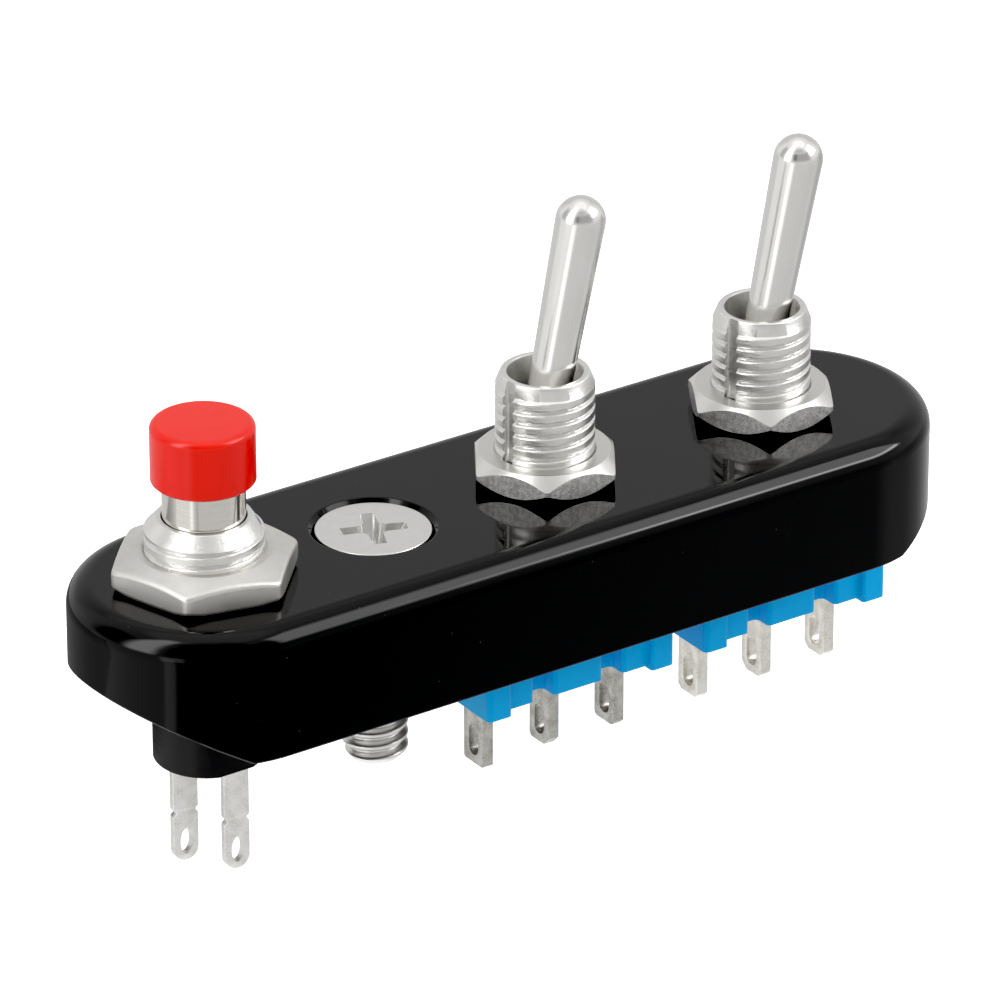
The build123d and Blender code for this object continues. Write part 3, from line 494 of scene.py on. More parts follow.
def thread_tree():
    """Cuts a right-handed thread into a turned blank: no point may stand outside the helical ridge's profile."""
    tree, given = new_tree("thread", {"Axis X": 0.0, "Crest Radius": 0.003, "Root Radius": 0.0027,
                                      "Pitch": 0.00075, "Groove": 0.24, "Low": 0.0, "High": 0.01})
    axis = add(tree, "ShaderNodeCombineXYZ", {0: given["Axis X"]})
    here = add(tree, VECTOR_MATH, {0: add(tree, "GeometryNodeInputPosition"), 1: axis}, MINUS)
    x, y, z = add(tree, "ShaderNodeSeparateXYZ", {0: here}).node.outputs
    level = add(tree, VECTOR_MATH, {0: here, 1: (1, 1, 0)}, TIMES)
    radius = add(tree, VECTOR_MATH, {0: level}, {"operation": "LENGTH"}, output="Value")
    angle = add(tree, MATH, {0: y, 1: x}, {"operation": "ARCTAN2"})
    turn = add(tree, MATH, {0: angle, 1: 2 * pi}, DIVIDED)
    climbed = add(tree, MATH, {0: z, 1: given["Pitch"]}, DIVIDED)
    phase = add(tree, MATH, {0: climbed, 1: turn}, MINUS)
    flank = add(tree, MATH, {0: phase, 1: 0.5}, {"operation": "PINGPONG"})
    limit = add(tree, RANGE, {0: flank, "From Min": given["Groove"], "From Max": 0.02,
                              "To Min": given["Crest Radius"], "To Max": given["Root Radius"]}, EASED)
    outside = add(tree, MATH, {0: radius, 1: limit}, MORE)
    above = add(tree, MATH, {0: z, 1: given["Low"]}, MORE)
    below = add(tree, MATH, {0: given["High"], 1: z}, MORE)
    between = add(tree, MATH, {0: above, 1: below}, TIMES)
    chosen = add(tree, MATH, {0: outside, 1: between}, TIMES)
    shrink = add(tree, MATH, {0: limit, 1: radius}, DIVIDED)
    scale = add(tree, "ShaderNodeCombineXYZ", {0: shrink, 1: shrink, 2: 1.0})
    moved = add(tree, VECTOR_MATH, {0: here, 1: scale, 2: axis}, TIMES_PLUS)
    placed = {"Geometry": given["Geometry"], "Selection": chosen, "Position": moved}
    return ended(tree, given, add(tree, "GeometryNodeSetPosition", placed))


def coil_tree():
    """A coil spring: round wire swept along a helix with its end turns closed up."""
    tree, given = new_tree("coil", {"Coil Radius": 0.0008, "Wire Radius": 0.0001, "Length": 0.003, "Turns": 8.0})
    sizes = {"Resolution": 20, "Rotations": given["Turns"], "Start Radius": given["Coil Radius"],
             "End Radius": given["Coil Radius"], "Height": given["Length"]}
    helix = add(tree, "GeometryNodeCurveSpiral", sizes)
    part = add(tree, "GeometryNodeSplineParameter", output="Factor")
    rise = add(tree, RANGE, {0: part, "To Max": given["Length"]}, EASED)
    x, y, _ = add(tree, "ShaderNodeSeparateXYZ", {0: add(tree, "GeometryNodeInputPosition")}).node.outputs
    place = add(tree, "ShaderNodeCombineXYZ", {0: x, 1: y, 2: rise})
    closed = add(tree, "GeometryNodeSetPosition", {"Geometry": helix, "Position": place})
    wire = add(tree, "GeometryNodeCurvePrimitiveCircle", {"Resolution": 10, "Radius": given["Wire Radius"]})
    swept = add(tree, "GeometryNodeCurveToMesh", {"Curve": closed, "Profile Curve": wire, "Fill Caps": True})
    return ended(tree, given, swept)


def grown(thing, tree, sizes, material):
    """Runs a tree on a thing with lengths in metres or plain numbers, and keeps the plain mesh."""
    modifier = thing.modifiers.new(tree.name, "NODES")
    modifier.node_group = tree
    sockets = {item.name: item.identifier for item in tree.interface.items_tree if item.in_out == "INPUT"}
    for name, value in sizes.items():
        modifier[sockets[name]] = float(value)
    modifier[sockets["Finish"]] = material
    return settle(thing)


THREAD = thread_tree()
COIL = coil_tree()


def threaded(thing, x, crest, thread, low, high, material):
    """Cuts a thread into a thing between two heights; sizes in millimetres."""
    depth, pitch, groove = thread
    return grown(thing, THREAD, {"Axis X": x * MM, "Crest Radius": crest * MM, "Root Radius": (crest - depth) * MM,
                                 "Pitch": pitch * MM, "Groove": groove, "Low": low * MM, "High": high * MM}, material)


def thread_rows(radius, high, low, spacing=0.04):
    """Closely spaced points down a barrel's side, fine enough for a thread to be cut into it."""
    rows = int((high - low) / spacing)
    return [(radius, high - (high - low) * row / rows, 0) for row in range(rows + 1)]


def coil(name, node_name, place, room, radius, wire, turns, body):
    """A coil spring as long as its room, standing on a placing matrix."""
    spring = bpy.data.objects.new(name, bpy.data.meshes.new(name))
    SCENE.collection.objects.link(spring)
    grown(spring, COIL, {"Coil Radius": radius * MM, "Wire Radius": wire * MM, "Length": (room - 2 * wire) * MM,
                         "Turns": turns}, SPRING)
    to_metres = Matrix.Diagonal((MM, MM, MM, 1))
    spring.data.transform(to_metres @ place @ at(0, wire) @ to_metres.inverted())
    return dressed(spring, body, SPRING, node_name, smooth=60)


# ---- housing ----
def obround(inset, sides=56):
    """The housing's plan outline, drawn in by an inset."""
    radius = HOUSING_HIGH.y
    ends = ((HOUSING_HIGH.x - radius, -pi / 2), (HOUSING_LOW.x + radius, pi / 2))
    return [(x + (radius - inset) * cos(start + pi * step / sides), (radius - inset) * sin(start + pi * step / sides))
            for x, start in ends for step in range(sides + 1)]


def bevel_wedge(tip, run, slope, way):
    """The wedge cut from under one end of the housing; way is +1 at the -X end and -1 at the other."""
    drop = 3.0
    outline = [(tip + way * run, 0), (tip + way * run, -drop), (tip - way, -drop),
               (tip - way, (run + 1) * tan(radians(slope)))]
    return prism(outline, UPRIGHT_XZ, -HOUSING_HIGH.y - 1, HOUSING_HIGH.y + 1)


def round_hole(x, radius, low, high):
    """A round hole's cutter."""
    return turned([(0, low), (radius, low), (radius, high), (0, high)], at(x))


def screw_sink():
    """The cutter for the clamp screw's hole and its countersink, with an eased lip."""
    throat = TOP - (SCREW_SINK_RADIUS - SCREW_HOLE_RADIUS)
    return turned(soften([(0, -1, 0), (SCREW_HOLE_RADIUS, -1, 0), (SCREW_HOLE_RADIUS, throat, 0.2),
                          (SCREW_SINK_RADIUS, TOP, 0.1), (SCREW_SINK_RADIUS + 1, TOP, 0),
                          (SCREW_SINK_RADIUS + 1, TOP + 1, 0), (0, TOP + 1, 0)]), at(0), 128)


def housing_block():
    """Rounded bar with sloping ends underneath, two pockets and the holes for the screw and the switches."""
    fillet_steps = 12
    rings = [[(x, y, HOUSING_LOW.z) for x, y in obround(0)],
             [(x, y, TOP - TOP_EDGE_RADIUS - HOLD) for x, y in obround(0)]]
    for step in range(fillet_steps + 1):
        turn = pi / 2 * step / fillet_steps
        height = TOP - TOP_EDGE_RADIUS * (1 - sin(turn))
        rings.append([(x, y, height) for x, y in obround(TOP_EDGE_RADIUS * (1 - cos(turn)))])
    rings.append([(x, y, TOP) for x, y in obround(TOP_EDGE_RADIUS + HOLD)])
    block = made("housing_block", loft(rings))
    carved(block, bevel_wedge(HOUSING_LOW.x, *LEFT_BEVEL, 1), bevel_wedge(HOUSING_HIGH.x, *RIGHT_BEVEL, -1))
    bevelled(block, HOUSING_EDGE, 2, 17)
    width, margin, corner = TOGGLE_POCKET
    start, end = TOGGLE_X[1] - CASE_HALF - margin, TOGGLE_X[2] + CASE_HALF + margin
    pocket = soften([(u, v, corner) for u, v in rectangle((end - start) / 2, width / 2)], closed=True)
    carved(block,
           prism(pocket, at((start + end) / 2), -1, POCKET_TOP),
           round_hole(BUTTON_X, BUTTON_POCKET_RADIUS, -1, POCKET_TOP),
           round_hole(TOGGLE_X[1], BUSHING_RADIUS + HOLE_PLAY, 1, TOP + 1),
           round_hole(TOGGLE_X[2], BUSHING_RADIUS + HOLE_PLAY, 1, TOP + 1),
           round_hole(BUTTON_X, BUTTON_THREAD_RADIUS + HOLE_PLAY, 1, TOP + 1),
           screw_sink())
    return dressed(block, "body", BLACK, "housing", smooth=16)


# ---- clamp screw ----
def cross_recess(high):
    """The cutter for the screw's cross recess, narrowing downwards, its arms meeting in soft corners."""
    span, slot = RECESS_SPAN / 2, RECESS_SLOT / 2
    corners = []
    for quarter in range(4):
        swing = Matrix.Rotation(radians(RECESS_TURN) + quarter * pi / 2, 2)
        for u, v, radius in ((span, -slot, 0.12), (span, slot, 0.12), (slot + 0.02, slot + 0.02, 0.45)):
            corners.append((*(swing @ Vector((u, v))), radius))
    plan = soften(corners, closed=True)
    return loft([[(p.x * size, p.y * size, z) for p in plan]
                 for z, size in ((high + 0.3, 1.06), (high, 1.0), (high - RECESS_DEPTH, 0.62))])


def clamp_screw():
    """Countersunk screw with a cross recess; its threaded end stands out below."""
    low, high = box_mm("clamp_screw")
    head, shank, thread = high.x, SCREW_SHANK_RADIUS, SCREW_THREAD_RADIUS
    seat = TOP - (SCREW_SINK_RADIUS - head)
    tip = low.z + SCREW_TIP_CHAMFER
    outline = soften([
        (0, high.z, 0), (head, high.z, 0.07), (head, seat, 0.03), (shank, seat - head + shank, 0.3), (shank, 0.3, 0),
        *thread_rows(thread, 0, tip), (thread - SCREW_TIP_CHAMFER, low.z, 0), (0, low.z, 0)
    ])
    screw = made("clamp_screw_zinc", turned(outline, at(0), 128))
    threaded(screw, 0, thread, SCREW_THREAD, low.z - 1, 0.2, ZINC)
    carved(screw, cross_recess(high.z))
    return dressed(screw, "body", ZINC, "clamp_screw", smooth=35)


# ---- nuts ----
def hex_nut(name, node_name, flats, bore_radius, turn, top_chamfer, foot_chamfer, sink, edge, material):
    """Hexagon nut: round chamfers trim its corners, a countersink opens its bore, and its edges are eased."""
    low, high = box_mm(node_name)
    half = flats / 2
    (top_loss, top_slope), (foot_loss, foot_slope) = top_chamfer, foot_chamfer
    top_inner, foot_inner = half - top_loss / top_slope, half - foot_loss / foot_slope
    crispness = 60

    def section(angle):
        sector = (angle - radians(turn) + pi / 6) % (pi / 3) - pi / 6
        reach = half * sum(abs(cos(sector + side * pi / 3)) ** crispness for side in (-1, 0, 1)) ** (-1 / crispness)
        fall, rise = (reach - top_inner) * top_slope, max(reach - foot_inner, 0.0) * foot_slope
        return soften([(bore_radius, high.z - sink[1], edge), (bore_radius + sink[0], high.z, edge),
                       (top_inner, high.z, edge), (reach, high.z - fall, edge), (reach, low.z + rise, edge),
                       (min(foot_inner, reach - edge), low.z, edge / 4), (bore_radius, low.z, edge / 2)],
                      closed=True, steps=4)

    nut = made(name, turned(section, at((low.x + high.x) / 2), 180))
    return dressed(nut, "body", material, node_name, smooth=25)


# ---- toggle switches ----
def toggle_bushing(n):
    """Threaded barrel with a bevelled rim, a flared mouth, the ball's seat and a keyway down one side."""
    node_name = f"toggle_{n}_bushing"
    low, high = box_mm(node_name)
    rim, mouth, rim_bevel, seat_rise, skirt_flare = 2.6, 2.25, 0.8, 1.0, 0.25
    seat = arc(SEAT_RADIUS, 0, asin(seat_rise / SEAT_RADIUS), 6, v=LEVER_PIVOT_Z)
    outline = soften([
        *seat, (mouth, high.z, 0.12), (rim, high.z, 0.16),
        *thread_rows(BUSHING_RADIUS, high.z - rim_bevel, POCKET_TOP), (rim, POCKET_TOP, 0), (rim, low.z, 0),
        (SEAT_RADIUS + skirt_flare, low.z, 0), (SEAT_RADIUS, POCKET_TOP + 0.2, 0)
    ], closed=True)
    barrel = made(f"{node_name}_threaded", turned(outline, at(TOGGLE_X[n]), 144))
    threaded(barrel, TOGGLE_X[n], BUSHING_RADIUS, BUSHING_THREAD, POCKET_TOP + 0.1, high.z + 1, NICKEL)
    width, depth = BUSHING_KEYWAY
    key = soften([(-1, -width / 2, 0), (depth, -width / 2, 0.2), (depth, width / 2, 0.2), (-1, width / 2, 0)],
                 closed=True)
    around = at(TOGGLE_X[n]) @ Matrix.Rotation(radians(KEYWAY_TURN[n]), 4, "Z") @ at(-BUSHING_RADIUS)
    carved(barrel, prism(key, around, POCKET_TOP - 0.01, high.z + 1))
    return dressed(barrel, "body", NICKEL, node_name, smooth=40)


def lever_place(n):
    """Where a lever stands: its own +Z runs from the pivot to its tip."""
    return at(TOGGLE_X[n], LEVER_PIVOT_Z) @ Matrix.Rotation(LEVER_LEAN, 4, "Y")


def toggle_lever(n):
    """Tapered lever with a blunt dome, a pivot ball with two trunnions, and a bore for its spring."""
    dome_radius, dome_reach = LEVER_DOME
    bore_radius, bore_top = LEVER_BORE
    pin_radius, pin_reach = TRUNNION
    shoulder, blend = 0.55, 0.5       # the neck meets the ball here, above the pivot, in a fillet
    first, last = asin(shoulder / LEVER_BALL), atan2(-sqrt(LEVER_BALL**2 - LEVER_SHANK**2), LEVER_SHANK)
    outline = soften([
        *arc(dome_radius, pi / 2, -pi / 2, 16, v=dome_reach), (LEVER_NECK, shoulder, blend),
        *arc(LEVER_BALL, first, last - first, 24), (LEVER_SHANK, LEVER_END + 0.1, 0),
        (LEVER_SHANK - 0.1, LEVER_END, 0), (bore_radius, LEVER_END, 0), (bore_radius, bore_top, 0), (0, bore_top, 0)
    ])
    lever = made(f"toggle_{n}_lever_polished", turned(outline, lever_place(n)))
    for side in (-1, 1):
        pin = turned(soften([(0, LEVER_NECK, 0), (pin_radius, LEVER_NECK, 0), (pin_radius, pin_reach, 0.06),
                             (0, pin_reach, 0)]),
                     at(TOGGLE_X[n], LEVER_PIVOT_Z) @ Matrix.Rotation(-side * pi / 2, 4, "X"), 32)
        carved(lever, pin, operation="UNION")
    return dressed(lever, f"lever_{n}", CHROME, f"toggle_{n}_lever", smooth=22)


def toggle_case(n):
    """Moulded case: end pilasters on rounded feet, soft grooves between the terminals, an open chamber."""
    low, high = box_mm(f"toggle_{n}_case")
    middle, leg_low = TOGGLE_X[n], box_mm(f"toggle_{n}_frame")[0].z
    pitch, groove, depth = GROOVE
    near, far = (pitch - groove) / 2, (pitch + groove) / 2
    inner = CASE_HALF - PILASTER
    quarter = [(CASE_HALF, high.y, 0.35), (inner, high.y, 0.2), (inner, CASE_WALL_Y, 0.12),
               (far, CASE_WALL_Y, 0.3), (far, CASE_WALL_Y - depth, 0.35),
               (near, CASE_WALL_Y - depth, 0.35), (near, CASE_WALL_Y, 0.3)]
    side = quarter + [(-x, y, r) for x, y, r in reversed(quarter)]
    plan = soften(side + [(-x, -y, r) for x, y, r in side], closed=True)
    case = made(f"toggle_{n}_case_moulded", prism(plan, at(middle), low.z, high.z))
    carved(case, prism(rectangle(inner, high.y + 1), at(middle), low.z - 1, low.z + CASE_UNDERCUT))
    bevelled(case, 0.14, 3, 40)
    leg = rectangle(FRAME_LEG[0] / 2, FRAME_LEG[1])
    blade = rectangle(BLADE[1] / 2, BLADE[0])
    carved(case, prism(rectangle(*CAVITY), at(middle), CASE_FLOOR, high.z + 1),
           *[prism(leg, at(middle + way * (CASE_HALF - FRAME_LEG[0] / 2)), leg_low, high.z + 1) for way in (-1, 1)],
           *[prism(blade, at(middle + step * TERMINAL_PITCH), low.z - 1, CASE_FLOOR + 1) for step in (-1, 0, 1)])
    case.visible_glossy = False       # no blue tinge on the terminals and the screw
    return dressed(case, "body", BLUE, f"toggle_{n}_case")


def plate(name, outline, hole, thickness, edge, place):
    """A punched plate with one hole: both outlines are closed and its edges are eased."""
    curve = bpy.data.curves.new(name, "CURVE")
    curve.dimensions = "2D"
    curve.fill_mode = "BOTH"
    curve.extrude = thickness / 2 - edge
    curve.bevel_depth = edge
    curve.bevel_resolution = 1
    curve.offset = -edge
    for loop in (outline, hole):
        spline = curve.splines.new("POLY")
        spline.points.add(len(loop) - 1)
        for point, target in zip(loop, spline.points):
            target.co = (point[0], point[1], 0, 1)
        spline.use_cyclic_u = True
    flat = bpy.data.objects.new(name, curve)
    SCENE.collection.objects.link(flat)
    graph = bpy.context.evaluated_depsgraph_get()
    shell = bmesh.new()
    shell.from_mesh(bpy.data.meshes.new_from_object(flat.evaluated_get(graph)))
    bpy.data.objects.remove(flat)
    bmesh.ops.transform(shell, matrix=place, verts=shell.verts)
    return made(name, shell)


def slot_loop(middle, length, width, steps=10):
    """A round-ended slot's outline, upright about a middle height."""
    radius, reach = width / 2, (length - width) / 2
    return arc(radius, 0, pi, steps, v=middle + reach) + arc(radius, pi, pi, steps, v=middle - reach)


def toggle_terminal(n, letter, step):
    """Solder terminal: a slotted blade below, and its contact head inside the case."""
    node_name = f"toggle_{n}_terminal_{letter}"
    low, high = box_mm(node_name)
    middle, (cut_near, cut_far) = TOGGLE_X[n], BLADE_TIPS[n][letter]
    (half, thickness), (slot_rise, slot_length, slot_width) = BLADE, BLADE_SLOT
    blade = soften([
        (-half, CASE_FLOOR, 0), (-half, low.z + cut_near, 0.15), (-half + cut_near, low.z, 0.15),
        (half - cut_far, low.z, 0.15), (half, low.z + cut_far, 0.15), (half, CASE_FLOOR, 0)
    ], closed=True, steps=3)
    place = at(middle + step * TERMINAL_PITCH) @ UPRIGHT_YZ
    slot = slot_loop(low.z + slot_rise, slot_length, slot_width)
    terminal = plate(f"{node_name}_silvered", blade, slot, thickness, 0.06, place)
    sunk = CASE_FLOOR - 0.02          # a head bites this far into its blade, so that the two join
    if step:
        pad_inner, pad_outer, pad_half = 3.2, TERMINAL_PITCH + thickness / 2, 1.3
        pad = rectangle((pad_outer - pad_inner) / 2, pad_half)
        carved(terminal, prism(pad, at(middle + step * (pad_outer + pad_inner) / 2), sunk, high.z),
               operation="UNION")
        return dressed(terminal, "body", BLADE_SILVER[n], node_name)
    saddle_half, saddle_top, ear_middle, ear_half = 0.75, 1.8, 1.65, 0.2
    saddle = rectangle(saddle_half, ear_middle + ear_half)
    ear = rectangle(saddle_half, ear_half)
    carved(terminal, prism(saddle, at(middle), sunk, saddle_top),
           *[prism(ear, at(middle, 0, way * ear_middle), saddle_top - 0.02, high.z) for way in (-1, 1)],
           operation="UNION")
    groove_radius, groove_half = 0.4, ear_middle - ear_half
    groove = arc(groove_radius, 0, 2 * pi, 24)[:-1]
    carved(terminal, prism(groove, at(middle, ROCKER_PIVOT_Z) @ UPRIGHT_XZ, -groove_half, groove_half))
    return dressed(terminal, "body", BLADE_SILVER[n], node_name)


# ---- push button ----
def button_bushing():
    """Threaded barrel with a wide bevelled rim, a flange under the plate and a skirt that holds the base."""
    low, high = box_mm("button_bushing")
    bore_radius, rim_width, rim_bevel = PLUNGER_RADIUS + 0.05, 0.28, 0.78
    flange, flange_low, skirt, skirt_bore_top = high.x - BUTTON_X, POCKET_TOP - 1, 3.8, 3.6
    collar_bore, stop = PLUNGER_COLLAR[0] + 0.1, PLUNGER_COLLAR[1] + 0.02
    outline = soften([
        (bore_radius, high.z, 0.06), (bore_radius + rim_width, high.z, 0.12),
        *thread_rows(BUTTON_THREAD_RADIUS, high.z - rim_bevel, POCKET_TOP), (flange, POCKET_TOP, 0.1),
        (flange, flange_low, 0.1), (skirt, flange_low, 0), (skirt, low.z, 0.1), (BASE_RADIUS, low.z, 0.1),
        (BASE_RADIUS, skirt_bore_top, 0), (collar_bore, skirt_bore_top, 0), (collar_bore, stop, 0),
        (bore_radius, stop, 0)
    ], closed=True)
    barrel = made("button_bushing_threaded", turned(outline, at(BUTTON_X), 144))
    threaded(barrel, BUTTON_X, BUTTON_THREAD_RADIUS, BUSHING_THREAD, POCKET_TOP + 0.1, high.z + 1, NICKEL)
    return dressed(barrel, "body", NICKEL, "button_bushing", smooth=40)


def button_plunger():
    """Polished plunger, with a stud for the cap above and a stop collar below."""
    low, high = box_mm("button_plunger")
    shoulder = box_mm("button_cap")[0].z
    (stud, _), (collar, collar_top) = STUD, PLUNGER_COLLAR
    outline = soften([
        (0, high.z, 0), (stud, high.z, 0.1), (stud, shoulder, 0), (PLUNGER_RADIUS, shoulder, 0.08),
        (PLUNGER_RADIUS, collar_top, 0), (collar, collar_top, 0.05), (collar, low.z, 0.05), (0, low.z, 0)
    ])
    plunger = made("button_plunger_plated", turned(outline, at(BUTTON_X), 128))
    return dressed(plunger, "button", PLUNGER, "button_plunger")


def button_cap():
    """Moulded cap: a flat crown with a small rounded edge, straight sides and a fine chamfer at its foot."""
    low, high = box_mm("button_cap")
    radius, foot, edge, crown_drop = (high.x - low.x) / 2, 0.12, 0.42, 0.03
    stud, stud_top = STUD
    outline = soften([
        (0, high.z, 0), (radius * 0.55, high.z - crown_drop / 3, 3.0), (radius, high.z - crown_drop, edge),
        (radius, low.z + foot, 0.04), (radius - foot, low.z, 0.04), (stud, low.z, 0), (stud, stud_top, 0),
        (0, stud_top, 0)
    ], steps=8)
    cap = made("button_cap_moulded", turned(outline, at(BUTTON_X), 128))
    cap.visible_glossy = False        # no red streaks on the levers
    return dressed(cap, "button", RED, "button_cap")


def lug_place(way):
    """Where a lug stands under the button, turned a little about its own middle."""
    return at(BUTTON_X + way * LUG_PLACE[0], 0, -way * LUG_PLACE[1]) @ Matrix.Rotation(radians(LUG[2]), 4, "Z")


def button_base():
    """Turned insulating base with one flat that leans back a little, bored for the spring and the contacts."""
    low, high = box_mm("button_base")
    cavity, floor, seat, seat_radius = 2.75, LUG_TOP, -1.6, 0.94
    outline = soften([
        (cavity, high.z, 0), (BASE_RADIUS, high.z, 0), (BASE_RADIUS, low.z, 0.08), (0, low.z, 0), (0, seat, 0),
        (seat_radius, seat, 0), (seat_radius, floor, 0), (cavity, floor, 0), (cavity, high.z, 0)
    ])
    base = made("button_base_turned", turned(outline, at(BUTTON_X), 128))
    depth, flat_top, lean = BASE_FLAT
    flat_low = depth - BASE_RADIUS
    flat_high = flat_low + (flat_top - low.z) * sin(radians(lean))
    carved(base, prism([(-8, low.z - 1), (flat_low, low.z - 1), (flat_low, low.z), (flat_high, flat_top),
                        (-8, flat_top)], at(BUTTON_X) @ UPRIGHT_YZ, -BASE_RADIUS - 1, BASE_RADIUS + 1))
    slot = rectangle(LUG[0] / 2, LUG[1] / 2)
    carved(base, *[prism(slot, lug_place(way), low.z - 1, floor + 1) for way in (-1, 1)])
    return dressed(base, "body", BASE_BLACK, "button_base")


def button_lug(letter, way):
    """Solder lug: a waisted strip with a round end, an oval eye and a contact head on the base's floor."""
    node_name = f"button_lug_{letter}"
    low, high = box_mm(node_name)
    half, (waist_z, notch), (eye_rise, eye_half_height, eye_half_width) = LUG[0] / 2, LUG_WAIST, LUG_EYE
    right = [(half, LUG_TOP, 0), (half, waist_z + notch, 0.12), (half - notch, waist_z, 0.08),
             (half, waist_z - notch, 0.2)]
    tip = arc(half, 0, -pi, 16, v=low.z + half)
    strip = soften(right + tip + [(-u, v, r) for u, v, r in reversed(right)], closed=True, steps=4)
    eye = [(eye_half_width * cos(pi * i / 12), low.z + eye_rise + eye_half_height * sin(pi * i / 12))
           for i in range(24)]
    lug = plate(f"{node_name}_silvered", strip, eye, LUG[1], 0.05, lug_place(way) @ UPRIGHT_XZ)
    contact_radius, contact_offset, sunk = 0.55, 0.25, LUG_TOP - 0.02
    contact = turned(soften([(0, high.z, 0), (contact_radius, high.z, 0.12), (contact_radius, sunk, 0), (0, sunk, 0)]),
                     at(BUTTON_X + way * LUG_PLACE[0], 0, -way * (LUG_PLACE[1] + contact_offset)), 40)
    carved(lug, contact, operation="UNION")
    return dressed(lug, "body", LUG_SILVER, node_name)


# ---- the whole object ----
housing_block()
clamp_screw()
for n in (1, 2):
    hex_nut(f"toggle_{n}_nut_grained", f"toggle_{n}_nut", NUT_FLATS, BUSHING_RADIUS - 0.25, NUT_TURN[n],
            top_chamfer=(0.17, 1.0), foot_chamfer=(0.17, 1.0), sink=(0.35, 0.2), edge=0.06,
            material=NUT_NICKEL)
    toggle_bushing(n)
    toggle_lever(n)
    toggle_case(n)
    toggle_terminal(n, "a", -1)
    toggle_terminal(n, "b", 0)
    toggle_terminal(n, "c", 1)
    tip_top = -2.0
    coil(f"toggle_{n}_lever_coil", f"toggle_{n}_lever_spring", lever_place(n) @ at(0, tip_top),
         LEVER_BORE[1] - tip_top, radius=0.585, wire=0.13, turns=5, body=f"lever_{n}")
hex_nut("button_nut_satin", "button_nut", BUTTON_NUT_FLATS, BUTTON_THREAD_RADIUS - 0.25, BUTTON_NUT_TURN,
        top_chamfer=(0.35, 0.38), foot_chamfer=(0.0, 0.43), sink=(0.4, 0.2), edge=0.32,
        material=BUTTON_NUT_NICKEL)
button_bushing()
button_plunger()
button_cap()
button_base()
button_lug("a", -1)
button_lug("b", 1)
spring_low, spring_high = box_mm("button_spring")
spring_room = spring_high.z - spring_low.z
button_coil = coil("button_coil", "button_spring", at(BUTTON_X, spring_low.z), spring_room, radius=0.76,
                   wire=0.14, turns=6, body="body")
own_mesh(button_coil)

KEPT = {"toggle_1_frame": TIN, "toggle_2_frame": TIN, "toggle_1_rocker": COPPER, "toggle_2_rocker": COPPER,
        "toggle_1_lever_tip": NYLON, "toggle_2_lever_tip": NYLON, "button_pusher": NYLON, "button_bridge": COPPER}
for node_name, material in KEPT.items():
    cad_mesh = frame["nodes"][node_name].data
    cad_mesh.materials.clear()
    cad_mesh.materials.append(material)


# ---- stage, light and camera ----
def sheet(name, corners, material, unseen):
    """A flat sheet of the stage. It throws no light or shade on the object, and one more kind of ray misses it."""
    shell = bmesh.new()
    shell.faces.new([shell.verts.new(corner) for corner in corners])
    thing = made(name, shell)
    thing.data.materials.append(material)
    for ray in ("diffuse", "shadow", "transmission", unseen):
        setattr(thing, f"visible_{ray}", False)


def pale_floor():
    """A plain pale sheet under the object. It catches the eye and the shadows; metals mirror the light tent instead."""
    material = patterned("pale_paper", 0xF4F4F3, 0.0, 0.9, (6.0, 3.0), (0xF7F7F6, 0xF1F1F0),
                         Emission_Strength=0.8)
    sheet("floor", [(x, y, FLOOR_Z - 0.01) for x, y in rectangle(8000, 8000)], material, "glossy")


def dark_flag():
    """A dark card close behind the housing's rounded end. Only mirrors see it: it keeps that end's outline black."""
    left, right, top, behind = -48, -10, 5, 14
    from_x, to_x, near_light, far_light = -42 * MM, -11 * MM, 0.64, 0.1
    material = patterned("dark_flock", 0x202020, 0.0, 0.9, (1.0, 2.0), (0x181818, 0x282828))
    tree = material.node_tree
    where = add(tree, "ShaderNodeTexCoord", output="Object")
    x, _, _ = add(tree, "ShaderNodeSeparateXYZ", {0: where}).node.outputs
    lit = add(tree, RANGE, {0: x, "From Min": from_x, "From Max": to_x, "To Min": near_light, "To Max": far_light})
    tree.links.new(lit, tree.nodes["Principled BSDF"].inputs["Emission Strength"])
    corners = [(left, behind, FLOOR_Z), (right, behind, FLOOR_Z), (right, behind, top), (left, behind, top)]
    sheet("dark_flag", corners, material, "camera")


# In degrees: middle azimuth, half width, softness; lowest, highest elevation, softness. Last: the light it adds.
SOFTBOXES = (
    (-89, 12, 5, 4, 68, 6, 3.2),       # tall box on the left
    (49, 21, 4, 24, 55, 4, 2.4),       # box at the front right
    (52, 17, 1.2, 25, 31, 2, 6.0),     # its bright lower edge
    (-19, 44, 12, 6, 44, 8, -0.45),    # shade round the camera
    (-53, 10, 5, 12, 40, 6, -0.25),    # darker to its left
    (-30, 32, 12, 48, 76, 6, -0.35),   # and dim above it
    (145, 50, 10, 6, 45, 4, -0.22),    # dimmer wall behind
    (0, 181, 1, 64, 95, 6, 0.3),       # panel overhead
    (0, 181, 1, -95, -48, 4, 0.4),     # bright table straight below
    (-100, 34, 6, -48, 0, 6, 0.2),     # pale table on the left
    (-65, 4.5, 2, -90, -6, 3, 0.42),   # narrow gap of light beside it
    (-62, 9, 3, -16, 0, 3, 0.6),       # wider just under the horizon
    (-122, 14, 8, 6, 46, 5, -0.4),     # shade beyond the tall box
    (-50, 3, 2, -90, -18, 3, -0.15),   # its dark edge
    (-5, 50, 8, -48, -19, 6, -0.05),   # duller table below the camera
    (85, 20, 14, -35, 3, 5, -0.2),     # shade low on the right
)


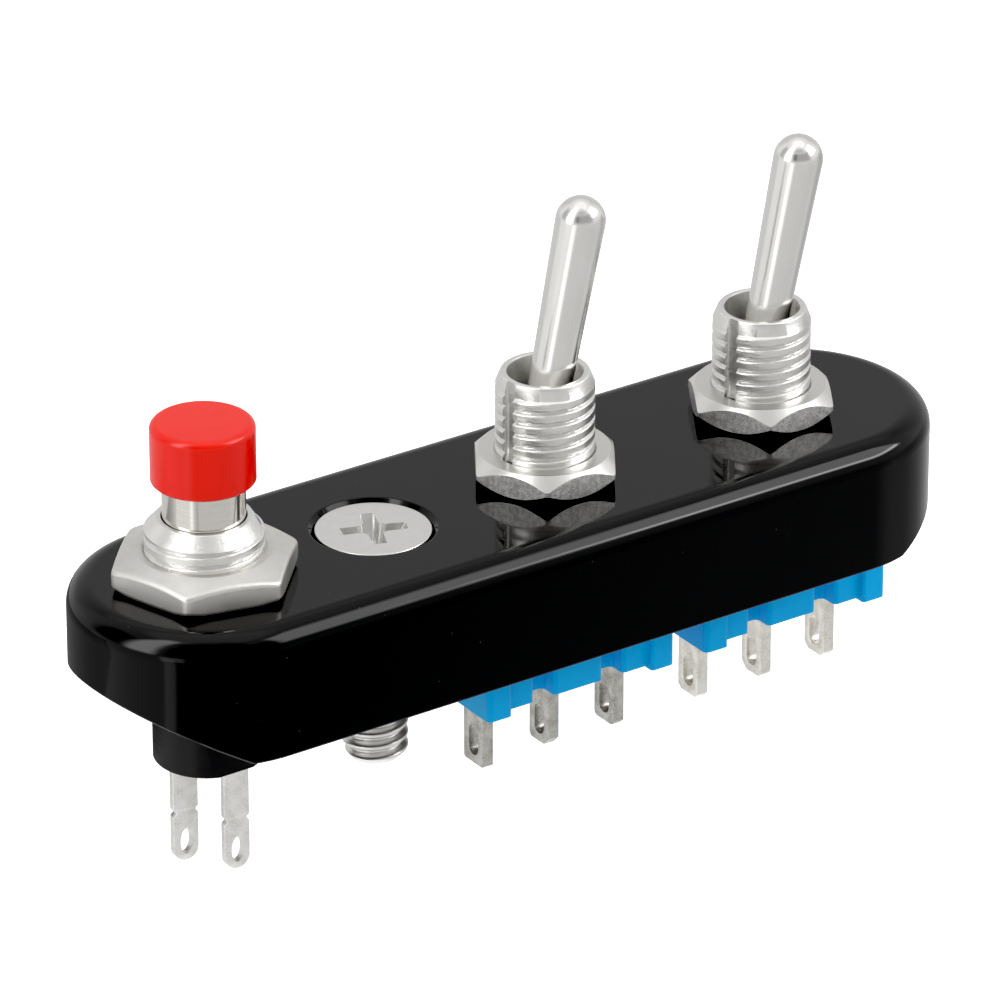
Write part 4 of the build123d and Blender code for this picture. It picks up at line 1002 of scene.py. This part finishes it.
def light_tent():
    """Plain soft studio light from all round, with softboxes and shades, as the world's background."""
    world = bpy.data.worlds.new("light_tent")
    SCENE.world = world
    world.use_nodes = True
    tree = world.node_tree
    direction = add(tree, "ShaderNodeTexCoord", output="Generated")
    x, y, z = add(tree, "ShaderNodeSeparateXYZ", {0: direction}).node.outputs
    forward = add(tree, MATH, {0: y, 1: -1.0}, TIMES)
    bearing = add(tree, MATH, {0: x, 1: forward}, {"operation": "ARCTAN2"})
    rise = add(tree, MATH, {0: z}, {"operation": "ARCSINE"})
    azimuth = add(tree, MATH, {0: bearing, 1: degrees(1)}, TIMES)
    elevation = add(tree, MATH, {0: rise, 1: degrees(1)}, TIMES)
    light = add(tree, RANGE, {0: elevation, "From Min": -8, "From Max": 12, "To Min": 0.7, "To Max": 0.9}, EASED)
    for middle, half, soft, low, high, blur, strength in SOFTBOXES:
        beyond = add(tree, MATH, {0: azimuth, 1: float(middle)}, MINUS)
        wrapped = add(tree, MATH, {0: beyond, 1: 180.0, 2: -180.0}, {"operation": "WRAP"})
        off = add(tree, MATH, {0: wrapped}, SIZE)
        beside = add(tree, RANGE, {0: off, "From Min": half + soft, "From Max": half - soft}, EASED)
        over = add(tree, RANGE, {0: elevation, "From Min": low - blur, "From Max": low + blur}, EASED)
        under = add(tree, RANGE, {0: elevation, "From Min": high + blur, "From Max": high - blur}, EASED)
        band = add(tree, MATH, {0: over, 1: under}, TIMES)
        window = add(tree, MATH, {0: beside, 1: band}, TIMES)
        light = add(tree, MATH, {0: window, 1: strength, 2: light}, TIMES_PLUS)
    seen = add(tree, "ShaderNodeLightPath", output="Is Camera Ray")
    shown = add(tree, MIX, {0: seen, 2: light, 3: 1.1}, NUMBERS)
    background = tree.nodes["Background"].inputs
    background["Color"].default_value = (1, 1, 1, 1)
    tree.links.new(shown, background["Strength"])


def camera():
    """Long lens from the front left, looking down on the switch."""
    aim = Vector((8.82, -0.08, 7.2)) * MM
    azimuth, elevation, distance = radians(-34.42), radians(26.43), 450.3 * MM
    back = Vector((sin(azimuth) * cos(elevation), -cos(azimuth) * cos(elevation), sin(elevation)))
    lens = bpy.data.cameras.new("camera")
    lens.sensor_width = 36
    lens.lens = 278.6
    lens.clip_start = 0.01
    eye = bpy.data.objects.new("camera", lens)
    SCENE.collection.objects.link(eye)
    eye.location = aim + back * distance
    eye.rotation_mode = "QUATERNION"
    eye.rotation_quaternion = (-back).to_track_quat("-Z", "Y")
    SCENE.camera = eye


pale_floor()
dark_flag()
light_tent()
camera()
SCENE.view_settings.view_transform = "Standard"
SCENE.view_settings.use_curve_mapping = True
SCENE.view_settings.curve_mapping.black_level = (0.0275, 0.0275, 0.0275)
